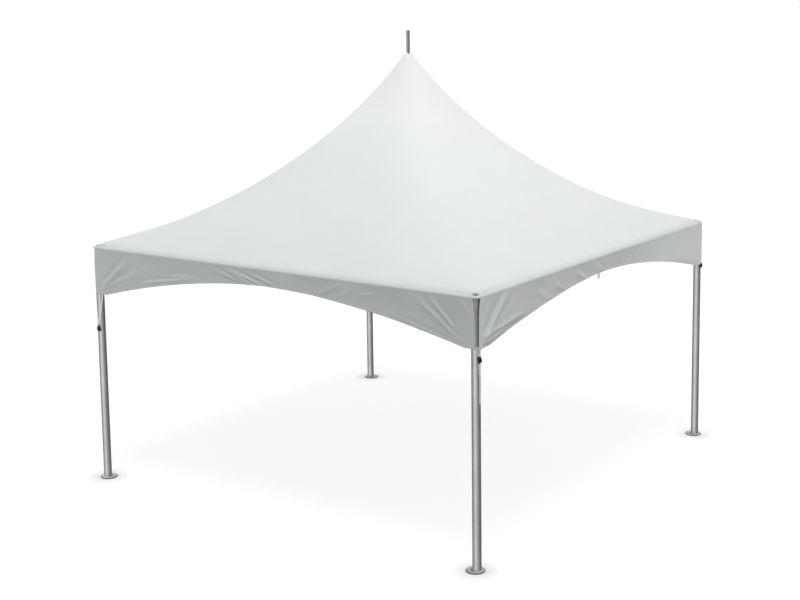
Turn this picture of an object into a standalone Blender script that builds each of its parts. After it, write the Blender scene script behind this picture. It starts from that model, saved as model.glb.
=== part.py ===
"""A high-peak frame marquee: four legs, four eave beams, crossed cables that carry a centre mast,
and one white sheet stretched from the mast to the beams, with an arched valance on each side.

Metres, +Z up. The origin is on the ground at the centre of the plan. The front face looks to -Y
and the right face to +X.
"""

import math

import bmesh
import bpy
from mathutils import Vector

# Driving dimensions
LEG_SPACING = 4.5
LEG_OD = 0.080
EAVE_Z = 2.400
APEX_Z = 4.280
MAST_TOP_Z = 4.520
GAP = 0.0003

# Legs and the plates that they stand on
PLATE_OD = 0.165
PLATE_THICK = 0.010
PLATE_SHIFT = 0.016
STAKE_HOLE_R = 0.007
STAKE_CIRCLE_R = 0.0615
LEG_TOP_Z = 2.200

# Eave beams and the castings that join them to the legs
BEAM_OD = 0.064
BEAM_Z = 2.358
SOCKET_OD = 0.070
SOCKET_REACH = 0.150
FITTING_TOP_Z = 2.3950
LUG_REACH = 0.090
LUG_WIDTH = 0.014
LUG_HEIGHT = 0.060
LUG_Z = 2.320

# The cap that closes a casting and shows in the corner of the roof
CAP_OD = 0.058
CAP_RECESS_R = 0.019
CAP_RECESS_DEPTH = 0.008
CAP_EASE = 0.0015
CAP_BEVEL = 0.003
CAP_HEIGHT = 0.019

# Crossed cables and the hub that they meet in
HUB_R = 0.090
HUB_BOTTOM_Z = 2.125
HUB_RIM = 0.030
HUB_BOSS_R = 0.040
HUB_TOP_Z = 2.200
HUB_TAIL = 0.020
HUB_CHAMFER = 0.010
CABLE_GAP = 0.001
CABLE_R = 0.005
SWAGE_R = 0.009
SWAGE_LENGTH = 0.090
TENSIONER_R = 0.015
TENSIONER_LENGTH = 0.260
TENSIONER_START = 0.200
TENSIONER_SHOULDER = 0.010

# Mast, from the hub to its tip
MAST_R = 0.025
MAST_TOP_OF_TUBE = 4.095
CONE_R = 0.100
CONE_TOP_R = 0.030
CONE_RIM = 0.012
CONE_FOOT_R = 0.033
ROD_R = 0.018
TIP_HEIGHT = 0.014
TIP_DOME = 0.010
TIP_STEPS = 4
COLLAR_R = 0.0235
COLLAR_HEIGHT = 0.030
COLLAR_TAPER = 0.003

# Roof sheet: how square its level curves are, and how it curves from the peak to the eaves
SHEET_THICK = 0.004
PEAK_POWER = 2
EAVE_POWER = 3.5
POWER_REACH = 0.5
HANG_LINEAR = -0.41
HANG_SQUARE = -0.46
HANG_CUBIC = 0.71
ROOF_SIDES = 48
ROOF_RINGS = 14
ROOF_SPACING = 1.6
CAP_HOLE_R = 0.031

# Valances, on the plane that touches the legs
VALANCE_THICK = 0.003
VALANCE_MID = 0.155
VALANCE_CORNER = 0.435
VALANCE_ARCH = 1.85
VALANCE_FLAT = 0.105
VALANCE_END = 0.008
ARCH_STEPS = 12

# Corner straps, their buckles, the loose strap end and the tie
STRAP_WIDTH = 0.025
STRAP_THICK = 0.002
STRAP_START = 0.060
STRAP_CROTCH = 0.4
BUCKLE_WIDTH = 0.034
BUCKLE_DEPTH = 0.018
BUCKLE_TALL = 0.060
BUCKLE_ROUND = 0.004
TAIL_LENGTH = 0.350
TIE_Y = -0.130
TIE_WIDTH = 0.028
TIE_TOP_Z = 2.300
TIE_BOTTOM_Z = 2.193

# Worked out from the above
HALF = LEG_SPACING / 2
LEG_R = LEG_OD / 2
SHEET_HALF = HALF + LEG_R + VALANCE_THICK + 2 * GAP
TOP_LEVEL = (ROD_R + SHEET_THICK) / SHEET_HALF
LEG_BOTTOM_Z = PLATE_THICK + GAP
VALANCE_TOP_Z = EAVE_Z - SHEET_THICK - GAP
STRAP_TOP_Z = VALANCE_TOP_Z - VALANCE_CORNER - GAP

ROUND_SIDES = 24
SMALL_SIDES = 12

# name: (side in X, side in Y, turn of the corner's own frame, buckle's angle from the
# outward diagonal, buckle's height), with the seen heights of the straps
CORNERS = {
    "front_right": (1, -1, 0, 30, 1.860),
    "back_right": (1, 1, 90, -50, 1.917),
    "back_left": (-1, 1, 180, 30, 1.860),
    "front_left": (-1, -1, 270, 56, 1.565),
}
SIDES = {"front": 0, "right": 90, "back": 180, "left": 270}


def clear_scene():
    for obj in list(bpy.data.objects):
        bpy.data.objects.remove(obj)


def new_collection(name):
    made = bpy.data.collections.new(name)
    bpy.context.scene.collection.children.link(made)
    return made


def material(name, colour, roughness, metallic):
    made = bpy.data.materials.new(name)
    made.use_nodes = True
    made.diffuse_color = (*colour, 1)
    shader = made.node_tree.nodes["Principled BSDF"]
    shader.inputs["Base Color"].default_value = (*colour, 1)
    shader.inputs["Roughness"].default_value = roughness
    shader.inputs["Metallic"].default_value = metallic
    return made


def place(name, data, finish, parent=None, location=(0, 0, 0), rotation=(0, 0, 0)):
    """A new object of the tent; rotation in degrees."""
    obj = bpy.data.objects.new(name, data)
    obj.location = location
    obj.rotation_euler = [math.radians(angle) for angle in rotation]
    obj.parent = parent
    if finish:
        data.materials.append(finish)
    TENT.objects.link(obj)
    return obj


def mesh_of(name, shape):
    """The mesh of a bmesh, shaded smooth with its hard edges kept."""
    mesh = bpy.data.meshes.new(name)
    shape.to_mesh(mesh)
    shape.free()
    mesh.shade_smooth()
    mesh.set_sharp_from_angle(angle=math.radians(35))
    return mesh


def add_cylinder(shape, radius, length, centre, axis, sides=ROUND_SIDES):
    """A capped cylinder in a bmesh, with its middle at centre and its length along axis."""
    made = bmesh.ops.create_cone(
        shape, cap_ends=True, segments=sides, radius1=radius, radius2=radius, depth=length
    )
    turn = Vector((0, 0, 1)).rotation_difference(Vector(axis)).to_matrix()
    bmesh.ops.rotate(shape, verts=made["verts"], matrix=turn)
    bmesh.ops.translate(shape, verts=made["verts"], vec=centre)


def cylinder_mesh(name, radius, length, sides=ROUND_SIDES):
    """A cylinder that stands on its own origin."""
    shape = bmesh.new()
    add_cylinder(shape, radius, length, (0, 0, length / 2), (0, 0, 1), sides)
    return mesh_of(name, shape)


def box_mesh(name, size, centre=(0, 0, 0)):
    shape = bmesh.new()
    made = bmesh.ops.create_cube(shape, size=1)
    bmesh.ops.scale(shape, verts=made["verts"], vec=size)
    bmesh.ops.translate(shape, verts=made["verts"], vec=centre)
    return mesh_of(name, shape)


def turned(name, profile, finish, sides=ROUND_SIDES, **where):
    """A solid of revolution about Z: profile is (radius, height) down its outer side."""
    shape = bmesh.new()
    points = [shape.verts.new((radius, 0, height)) for radius, height in profile]
    for first, second in zip(points, points[1:]):
        shape.edges.new((first, second))
    obj = place(name, mesh_of(name, shape), finish, **where)
    screw = obj.modifiers.new("Turn", "SCREW")
    screw.steps = sides
    screw.render_steps = sides
    screw.use_merge_vertices = True
    screw.merge_threshold = 0.00001
    screw.use_smooth_shade = True
    return obj


def cutter(name, mesh, parent=None, location=(0, 0, 0)):
    obj = bpy.data.objects.new(name, mesh)
    obj.parent = parent
    obj.location = location
    obj.hide_render = True
    obj.display_type = "WIRE"
    CUTTERS.objects.link(obj)
    return obj


def combine(obj, other, operation):
    boolean = obj.modifiers.new(operation.title(), "BOOLEAN")
    boolean.operation = operation
    boolean.object = other


def corner_frame(name, turn, side_x, side_y):
    """An empty on the ground under a leg. In its frame the two faces look to +X and -Y."""
    frame = bpy.data.objects.new("corner_" + name, None)
    frame.location = (side_x * HALF, side_y * HALF, 0)
    frame.rotation_euler = (0, 0, math.radians(turn))
    TENT.objects.link(frame)
    return frame


def base_plate(name, side_x, side_y, finish):
    """A round steel plate, set a little inwards, with four holes for stakes."""
    plate = place(
        "base_plate_" + name,
        cylinder_mesh("base_plate", PLATE_OD / 2, PLATE_THICK, 32),
        finish,
        location=(side_x * (HALF - PLATE_SHIFT), side_y * HALF, 0),
    )
    shape = bmesh.new()
    for turn in range(4):
        angle = math.radians(45 + 90 * turn)
        centre = (STAKE_CIRCLE_R * math.cos(angle), STAKE_CIRCLE_R * math.sin(angle), 0)
        add_cylinder(shape, STAKE_HOLE_R, 4 * PLATE_THICK, centre, (0, 0, 1), 10)
    holes = cutter("stake_holes_" + name, mesh_of("stake_holes", shape), parent=plate)
    combine(plate, holes, "DIFFERENCE")


def leg(name, frame, finish):
    """A straight round tube, standing on its plate."""
    length = LEG_TOP_Z - LEG_BOTTOM_Z
    mesh = cylinder_mesh("leg", LEG_R, length)
    place("leg_" + name, mesh, finish, parent=frame, location=(0, 0, LEG_BOTTOM_Z))


def corner_fitting(name, frame, finish):
    """The casting on a leg: an upright body, a socket for each beam and a lug for the cable."""
    bottom = LEG_TOP_Z + GAP
    height = FITTING_TOP_Z - bottom
    body = cylinder_mesh("fitting_body", LEG_R, height)
    fitting = place("corner_fitting_" + name, body, finish, parent=frame, location=(0, 0, bottom))
    for axis in ((-1, 0, 0), (0, 1, 0)):
        shape = bmesh.new()
        middle = Vector(axis) * SOCKET_REACH / 2
        add_cylinder(shape, SOCKET_OD / 2, SOCKET_REACH, middle, axis)
        socket = cutter(
            "socket_" + name, mesh_of("socket", shape), parent=frame, location=(0, 0, BEAM_Z)
        )
        combine(fitting, socket, "UNION")
    lug_mesh = box_mesh("lug", (LUG_REACH, LUG_WIDTH, LUG_HEIGHT), (LUG_REACH / 2, 0, 0))
    lug = cutter("lug_" + name, lug_mesh, parent=frame, location=(0, 0, LUG_Z))
    lug.rotation_euler = (0, 0, math.radians(135))
    combine(fitting, lug, "UNION")


def leg_cap(name, frame, finish):
    """A ring with a blind recess, on top of the casting."""
    outer = CAP_OD / 2
    profile = [
        (0, CAP_HEIGHT - CAP_RECESS_DEPTH),
        (CAP_RECESS_R, CAP_HEIGHT - CAP_RECESS_DEPTH),
        (CAP_RECESS_R, CAP_HEIGHT - CAP_EASE),
        (CAP_RECESS_R + CAP_EASE, CAP_HEIGHT),
        (outer - CAP_BEVEL, CAP_HEIGHT),
        (outer, CAP_HEIGHT - CAP_BEVEL),
        (outer, 0),
        (0, 0),
    ]
    location = (0, 0, FITTING_TOP_Z + GAP)
    turned("leg_cap_" + name, profile, finish, parent=frame, location=location)


def eave_beam(side, turn, finish):
    """A round tube between two castings."""
    length = LEG_SPACING - 2 * (SOCKET_REACH + GAP)
    shape = bmesh.new()
    add_cylinder(shape, BEAM_OD / 2, length, (0, -HALF, BEAM_Z), (1, 0, 0))
    mesh = mesh_of("eave_beam", shape)
    place("eave_beam_" + side, mesh, finish, rotation=(0, 0, turn))


def cross_cable(name, side_x, side_y, finish):
    """A wire from a corner's lug to the hub, with a swaged end at the hub and a tensioner."""
    inwards = HALF - (LUG_REACH + CABLE_GAP) / math.sqrt(2)
    outer = Vector((side_x * inwards, side_y * inwards, LUG_Z))
    at_rim = (HUB_R + CABLE_GAP) / math.sqrt(2)
    inner = Vector((side_x * at_rim, side_y * at_rim, HUB_BOTTOM_Z + HUB_RIM / 2))
    length = (inner - outer).length
    neck = SWAGE_R - CABLE_R
    tension_end = TENSIONER_START + TENSIONER_LENGTH
    profile = [
        (0, length),
        (SWAGE_R, length),
        (SWAGE_R, length - SWAGE_LENGTH),
        (CABLE_R, length - SWAGE_LENGTH - neck),
        (CABLE_R, tension_end + SWAGE_LENGTH),
        (SWAGE_R, tension_end + SWAGE_LENGTH - neck),
        (SWAGE_R, tension_end),
        (TENSIONER_R, tension_end - TENSIONER_SHOULDER),
        (TENSIONER_R, TENSIONER_START + TENSIONER_SHOULDER),
        (SWAGE_R, TENSIONER_START),
        (SWAGE_R, 0),
        (0, 0),
    ]
    cable = turned("cross_cable_" + name, profile, finish, SMALL_SIDES, location=outer)
    cable.rotation_euler = (inner - outer).to_track_quat("Z", "Y").to_euler()


def mast_parts(metal, casting, sheet):
    """Hub, mast tube, the cone that spreads the sheet, the rod above it, its tip and the collar."""
    boss_bottom = HUB_BOTTOM_Z + HUB_RIM
    hub = [
        (0, HUB_TOP_Z),
        (HUB_BOSS_R, HUB_TOP_Z),
        (HUB_BOSS_R, boss_bottom + HUB_CHAMFER),
        (HUB_BOSS_R + HUB_CHAMFER, boss_bottom),
        (HUB_R, boss_bottom),
        (HUB_R, HUB_BOTTOM_Z),
        (HUB_BOSS_R, HUB_BOTTOM_Z),
        (HUB_BOSS_R - HUB_TAIL, HUB_BOTTOM_Z - HUB_TAIL),
        (0, HUB_BOTTOM_Z - HUB_TAIL),
    ]
    turned("mast_hub", hub, casting)
    foot = HUB_TOP_Z + GAP
    tube = cylinder_mesh("centre_mast", MAST_R, MAST_TOP_OF_TUBE - foot)
    place("centre_mast", tube, metal, location=(0, 0, foot))

    cone_bottom = MAST_TOP_OF_TUBE + GAP
    cone_edge = sheet_underside(CONE_R) - GAP
    cone_top = sheet_underside(CONE_TOP_R) - GAP
    cone = [
        (0, cone_top),
        (CONE_TOP_R, cone_top),
        (CONE_R, cone_edge),
        (CONE_R, cone_edge - CONE_RIM),
        (CONE_FOOT_R, cone_bottom),
        (0, cone_bottom),
    ]
    turned("peak_cone", cone, casting)

    rod_bottom = cone_top + GAP
    rod_top = MAST_TOP_Z - TIP_HEIGHT
    rod = cylinder_mesh("mast_rod", ROD_R, rod_top - rod_bottom)
    place("mast_rod", rod, metal, location=(0, 0, rod_bottom))
    dome = MAST_TOP_Z - TIP_DOME
    tip = []
    for step in range(TIP_STEPS + 1):
        angle = math.pi / 2 * step / TIP_STEPS
        tip.append((ROD_R * math.sin(angle), dome + TIP_DOME * math.cos(angle)))
    tip += [(ROD_R, rod_top + GAP), (0, rod_top + GAP)]
    turned("mast_tip", tip, metal)

    collar_bottom = roof_height(TOP_LEVEL) + GAP
    collar_top = collar_bottom + COLLAR_HEIGHT
    bore = ROD_R + GAP
    collar = [
        (bore, collar_bottom),
        (bore, collar_top),
        (COLLAR_R - COLLAR_TAPER, collar_top),
        (COLLAR_R, collar_bottom),
        (bore, collar_bottom),
    ]
    turned("peak_collar", collar, sheet)


def roof_height(level):
    """Height of the sheet's top side on a level curve: 0 is the peak and 1 the eaves."""
    curve = 1 + HANG_LINEAR * level + HANG_SQUARE * level**2 + HANG_CUBIC * level**3
    return EAVE_Z + (APEX_Z - EAVE_Z) * (1 - level) * curve


def sheet_underside(radius):
    """Height of the sheet's underside beside the peak, over the middle of a face."""
    step = 0.001
    level = radius / SHEET_HALF
    slope = (roof_height(level + step) - roof_height(level)) / (step * SHEET_HALF)
    return roof_height(level) - SHEET_THICK * math.hypot(1, slope)


def curve_radius(level, angle):
    """Distance from the middle to a level curve, as a share of half the tent.

    The curves are |x|^p + |y|^p - |x|^p |y|^p = level^p. Round at the peak, where p is 2, they
    come to fill the square at the eaves.
    """
    exponent = PEAK_POWER + (EAVE_POWER - PEAK_POWER) * min(level / POWER_REACH, 1)
    a = abs(math.cos(angle)) ** exponent
    b = abs(math.sin(angle)) ** exponent
    goal = level**exponent
    if a * b < 1e-9:
        power = goal / (a + b)
    else:
        root = max((a + b) ** 2 - 4 * a * b * goal, 0)
        power = (a + b - math.sqrt(root)) / (2 * a * b)
    return power ** (1 / exponent)


def roof_surface():
    """The open sheet, as rings of points on its level curves joined by faces."""
    shape = bmesh.new()
    rings = []
    for step in range(ROOF_RINGS + 1):
        share = 1 - (1 - step / ROOF_RINGS) ** ROOF_SPACING
        level = TOP_LEVEL + (1 - TOP_LEVEL) * share
        ring = []
        for side in range(ROOF_SIDES):
            angle = math.tau * side / ROOF_SIDES
            reach = curve_radius(level, angle) * SHEET_HALF
            point = (reach * math.cos(angle), reach * math.sin(angle), roof_height(level))
            ring.append(shape.verts.new(point))
        rings.append(ring)
    for inner, outer in zip(rings, rings[1:]):
        for side in range(ROOF_SIDES):
            after = (side + 1) % ROOF_SIDES
            shape.faces.new((inner[side], outer[side], outer[after], inner[after]))
    return shape


def canopy_roof(finish):
    """The sheet given its thickness, with a hole over each leg."""
    roof = place("canopy_roof", mesh_of("canopy_roof", roof_surface()), finish)
    solid = roof.modifiers.new("Thickness", "SOLIDIFY")
    solid.thickness = SHEET_THICK
    solid.offset = -1
    shape = bmesh.new()
    for side_x, side_y, *_ in CORNERS.values():
        centre = (side_x * HALF, side_y * HALF, EAVE_Z)
        add_cylinder(shape, CAP_HOLE_R, 0.1, centre, (0, 0, 1), 20)
    combine(roof, cutter("cap_holes", mesh_of("cap_holes", shape)), "DIFFERENCE")


def valance_outline():
    """Half of a valance's lower edge, from the middle to the corner, as (along, depth)."""
    arch_end = HALF - VALANCE_FLAT
    drop = VALANCE_CORNER - VALANCE_MID
    points = []
    for step in range(ARCH_STEPS + 1):
        share = step / ARCH_STEPS
        points.append((share * arch_end, VALANCE_MID + drop * share**VALANCE_ARCH))
    points.append((HALF + VALANCE_END, VALANCE_CORNER))
    return points


def valance(side, turn, finish):
    """A flat curtain with an arched lower edge, hanging from the edge of the roof."""
    half = valance_outline()
    end = HALF + VALANCE_END
    outline = [(-end, 0)]
    outline += [(-along, -depth) for along, depth in reversed(half[1:])]
    outline += [(along, -depth) for along, depth in half]
    outline.append((end, 0))
    curve = bpy.data.curves.new("valance", "CURVE")
    curve.dimensions = "2D"
    curve.fill_mode = "BOTH"
    curve.extrude = VALANCE_THICK / 2
    spline = curve.splines.new("POLY")
    spline.points.add(len(outline) - 1)
    for point, (along, height) in zip(spline.points, outline):
        point.co = (along, height, 0, 1)
    spline.use_cyclic_u = True
    out = SHEET_HALF - VALANCE_THICK / 2
    angle = math.radians(turn)
    location = (out * math.sin(angle), -out * math.cos(angle), VALANCE_TOP_Z)
    place("valance_" + side, curve, finish, location=location, rotation=(90, 0, turn))


def wrap(along, height, radius):
    """A point of the skin that lies flat on both faces and goes round the leg between them.

    along is measured round the leg from the outward diagonal, towards the +X side.
    """
    quarter = radius * math.pi / 4
    if along > quarter:
        return Vector((radius, along - quarter, height))
    if along < -quarter:
        return Vector((along + quarter, -radius, height))
    angle = along / radius - math.pi / 4
    return Vector((radius * math.cos(angle), radius * math.sin(angle), height))


def wrapped_strip(name, outline, finish, frame):
    """Webbing of this flat outline, laid round a leg."""
    radius = LEG_R + GAP
    shape = bmesh.new()
    shape.faces.new([shape.verts.new((along, height, 0)) for along, height in outline])
    for step in range(-9, 10):
        bmesh.ops.bisect_plane(
            shape,
            geom=shape.verts[:] + shape.edges[:] + shape.faces[:],
            plane_co=(step * radius * math.pi / 24, 0, 0),
            plane_no=(1, 0, 0),
        )
    bmesh.ops.triangulate(shape, faces=shape.faces[:])
    for point in shape.verts:
        point.co = wrap(point.co.x, point.co.y, radius)
    strip = place(name, mesh_of(name, shape), finish, parent=frame)
    solid = strip.modifiers.new("Thickness", "SOLIDIFY")
    solid.thickness = STRAP_THICK
    solid.offset = 1
    return strip


def corner_strap(name, frame, angle, height, finish):
    """Two arms from the lower corners of the valances, meeting above the buckle."""
    radius = LEG_R + GAP
    at = radius * math.radians(angle)
    low = height + BUCKLE_TALL / 2 + GAP
    crotch = low + STRAP_CROTCH * (STRAP_TOP_Z - low)
    reach = radius * math.pi / 4 + STRAP_START
    half = STRAP_WIDTH / 2
    outline = [
        (-reach - half, STRAP_TOP_Z),
        (at - half, low),
        (at + half, low),
        (reach + half, STRAP_TOP_Z),
        (reach - half, STRAP_TOP_Z),
        (at, crotch),
        (-reach + half, STRAP_TOP_Z),
    ]
    wrapped_strip("corner_strap_" + name, outline, finish, frame)


def strap_buckle(name, frame, angle, height, finish):
    """A cam buckle against the leg."""
    out = LEG_R + GAP + BUCKLE_DEPTH / 2
    turn = math.radians(angle - 45)
    buckle = place(
        "strap_buckle_" + name,
        box_mesh("strap_buckle", (BUCKLE_DEPTH, BUCKLE_WIDTH, BUCKLE_TALL)),
        finish,
        parent=frame,
        location=(out * math.cos(turn), out * math.sin(turn), height),
        rotation=(0, 0, angle - 45),
    )
    bevel = buckle.modifiers.new("Rounded", "BEVEL")
    bevel.width = BUCKLE_ROUND
    bevel.segments = 2


def strap_tail(name, frame, angle, height, finish):
    """The loose end of a strap, hanging from its buckle along the leg."""
    at = (LEG_R + GAP) * math.radians(angle)
    half = STRAP_WIDTH / 2
    top = height - BUCKLE_TALL / 2 - GAP
    outline = [
        (at - half, top),
        (at - half, top - TAIL_LENGTH),
        (at + half, top - TAIL_LENGTH),
        (at + half, top),
    ]
    wrapped_strip("strap_tail_" + name, outline, finish, frame)


def valance_tie(finish):
    """A short tie that hangs behind the lower edge of the right valance."""
    tall = TIE_TOP_Z - TIE_BOTTOM_Z
    mesh = box_mesh("valance_tie", (STRAP_THICK, TIE_WIDTH, tall))
    inside = SHEET_HALF - VALANCE_THICK - GAP - STRAP_THICK / 2
    place("valance_tie", mesh, finish, location=(inside, TIE_Y, TIE_TOP_Z - tall / 2))


def main():
    tube = material("aluminium_tube", (0.52, 0.52, 0.51), 0.32, 1.0)
    cast = material("cast_aluminium", (0.42, 0.42, 0.42), 0.5, 1.0)
    steel = material("plate_steel", (0.36, 0.36, 0.36), 0.45, 1.0)
    wire = material("wire_rope", (0.45, 0.45, 0.46), 0.4, 1.0)
    sheet = material("white_vinyl", (0.82, 0.84, 0.84), 0.45, 0.0)
    webbing = material("white_webbing", (0.78, 0.78, 0.76), 0.8, 0.0)
    black = material("black_buckle", (0.015, 0.015, 0.016), 0.4, 0.0)

    for name, (side_x, side_y, turn, angle, height) in CORNERS.items():
        frame = corner_frame(name, turn, side_x, side_y)
        base_plate(name, side_x, side_y, steel)
        leg(name, frame, tube)
        corner_fitting(name, frame, cast)
        leg_cap(name, frame, cast)
        cross_cable(name, side_x, side_y, wire)
        corner_strap(name, frame, angle, height, webbing)
        strap_buckle(name, frame, angle, height, black)
        if name == "front_right":
            strap_tail(name, frame, angle, height, webbing)
    for side, turn in SIDES.items():
        eave_beam(side, turn, tube)
        valance(side, turn, sheet)
    mast_parts(tube, cast, sheet)
    canopy_roof(sheet)
    valance_tie(webbing)


clear_scene()
TENT = new_collection("marquee_tent")
CUTTERS = new_collection("cutters")
main()
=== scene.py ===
from math import copysign, cos, hypot, pi, radians, sin, sqrt, tau

import bmesh
import bpy
import numpy as np
from mathutils import Matrix, Vector


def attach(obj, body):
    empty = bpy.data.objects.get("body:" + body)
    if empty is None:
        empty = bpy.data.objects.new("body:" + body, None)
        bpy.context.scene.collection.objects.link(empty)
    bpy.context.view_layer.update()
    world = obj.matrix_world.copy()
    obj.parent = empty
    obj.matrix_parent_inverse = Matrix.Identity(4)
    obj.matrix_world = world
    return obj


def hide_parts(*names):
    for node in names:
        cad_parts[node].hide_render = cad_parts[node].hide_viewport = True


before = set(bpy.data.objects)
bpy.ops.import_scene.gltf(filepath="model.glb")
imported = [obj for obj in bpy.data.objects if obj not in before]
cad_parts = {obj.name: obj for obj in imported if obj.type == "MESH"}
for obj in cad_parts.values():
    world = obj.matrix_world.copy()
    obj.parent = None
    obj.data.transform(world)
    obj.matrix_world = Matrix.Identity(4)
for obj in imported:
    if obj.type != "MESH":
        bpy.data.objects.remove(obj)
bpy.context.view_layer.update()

# The frame's dimensions, as in the CAD, in metres
HALF = 2.25
LEG_R = 0.040
GAP = 0.0003
EAVE_Z = 2.400
APEX_Z = 4.280
MAST_TOP_Z = 4.520
PLATE_R, PLATE_THICK, PLATE_SHIFT = 0.0825, 0.010, 0.016
STAKE_HOLE_R, STAKE_CIRCLE_R = 0.007, 0.0615
LEG_TOP_Z = 2.200
BEAM_R, BEAM_Z = 0.032, 2.358
SOCKET_R, SOCKET_REACH = 0.035, 0.150
FITTING_TOP_Z = 2.395
LUG_REACH, LUG_WIDTH, LUG_HEIGHT, LUG_Z = 0.090, 0.014, 0.060, 2.320
CAP_R, CAP_RECESS_DEPTH = 0.029, 0.008
HUB_R, HUB_BOTTOM_Z, HUB_RIM, HUB_BOSS_R, HUB_TOP_Z = 0.090, 2.125, 0.030, 0.040, 2.200
SWAGE_R = 0.009
TENSIONER_START, TENSIONER_LENGTH = 0.200, 0.260
MAST_R, MAST_TUBE_TOP_Z = 0.025, 4.095
CONE_R, CONE_TOP_R = 0.100, 0.030
ROD_R = 0.018
SHEET_HALF = HALF + LEG_R + 0.003 + 2 * GAP
SHEET_THICK = 0.004
HANG = (-0.41, -0.46, 0.71)
VALANCE_TOP_Z = EAVE_Z - SHEET_THICK - GAP
VALANCE_MID, VALANCE_CORNER, VALANCE_ARCH, VALANCE_FLAT = 0.155, 0.435, 1.85, 0.105
STRAP_TOP_Z = VALANCE_TOP_Z - VALANCE_CORNER - GAP
STRAP_WIDTH, STRAP_THICK = 0.025, 0.002
BUCKLE_WIDTH, BUCKLE_DEPTH, BUCKLE_TALL = 0.034, 0.018, 0.060
TAIL_LENGTH = 0.350
TIE_Y, TIE_WIDTH, TIE_TOP_Z, TIE_BOTTOM_Z = -0.130, 0.028, 2.300, 2.193

# Each leg: side in X, side in Y, turn of its frame, the buckle's angle from the outward
# diagonal, and the buckle's height
CORNERS = {
    "front_right": (1, -1, 0, 30, 1.860),
    "back_right": (1, 1, 90, -50, 1.917),
    "back_left": (-1, 1, 180, 30, 1.860),
    "front_left": (-1, -1, 270, 56, 1.565),
}
SIDES = {"front": 0, "right": 90, "back": 180, "left": 270}

# The photograph's camera
IMAGE_WIDTH = 800
FOCAL_PX = 1421.5
CAMERA_AT = (8.506, -11.998, 4.905)
CAMERA_YAW, CAMERA_PITCH, CAMERA_ROLL = 123.783, 7.857, -0.487
SHIFT_PX = (48, 112)

# The studio: where the soft light comes from, and a pale floor that glows for the camera
SIDE_LIGHT = (0.97, 0.10, 0.20)
SIDE_COLOUR = (0.470, 0.455, 0.443)
FILL_LIGHT = (-0.50, -0.42, 0.76)
GLOSS_LIGHT = (0.10, -1.0, 0.0)
BACK_GLOSS = (-0.60, 0.80, 0.0)
OVERHEAD_LIGHT, OVERHEAD = (0.18, -0.26, 0.95), 9.5
FLOOR_WHITE, FLOOR_SEEN, FLOOR_GLOW, CONTACT_REACH = 0.30, 0.26, 0.765, 0.22


def camera():
    data = bpy.data.cameras.new("camera")
    data.sensor_width = 36
    data.lens = FOCAL_PX * data.sensor_width / IMAGE_WIDTH
    data.shift_x = -SHIFT_PX[0] / IMAGE_WIDTH
    data.shift_y = -SHIFT_PX[1] / IMAGE_WIDTH
    data.clip_end = 400
    made = bpy.data.objects.new("camera", data)
    yaw, pitch = radians(CAMERA_YAW), radians(CAMERA_PITCH)
    look = Vector((cos(yaw) * cos(pitch), sin(yaw) * cos(pitch), -sin(pitch)))
    turn = look.to_track_quat("-Z", "Y").to_matrix() @ Matrix.Rotation(radians(CAMERA_ROLL), 3, "Z")
    made.matrix_world = Matrix.Translation(CAMERA_AT) @ turn.to_4x4()
    bpy.context.scene.collection.objects.link(made)
    bpy.context.scene.camera = made


# Node materials

# Bands per metre of a wave texture with a scale of 1
WAVE_BANDS = 3.18


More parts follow.
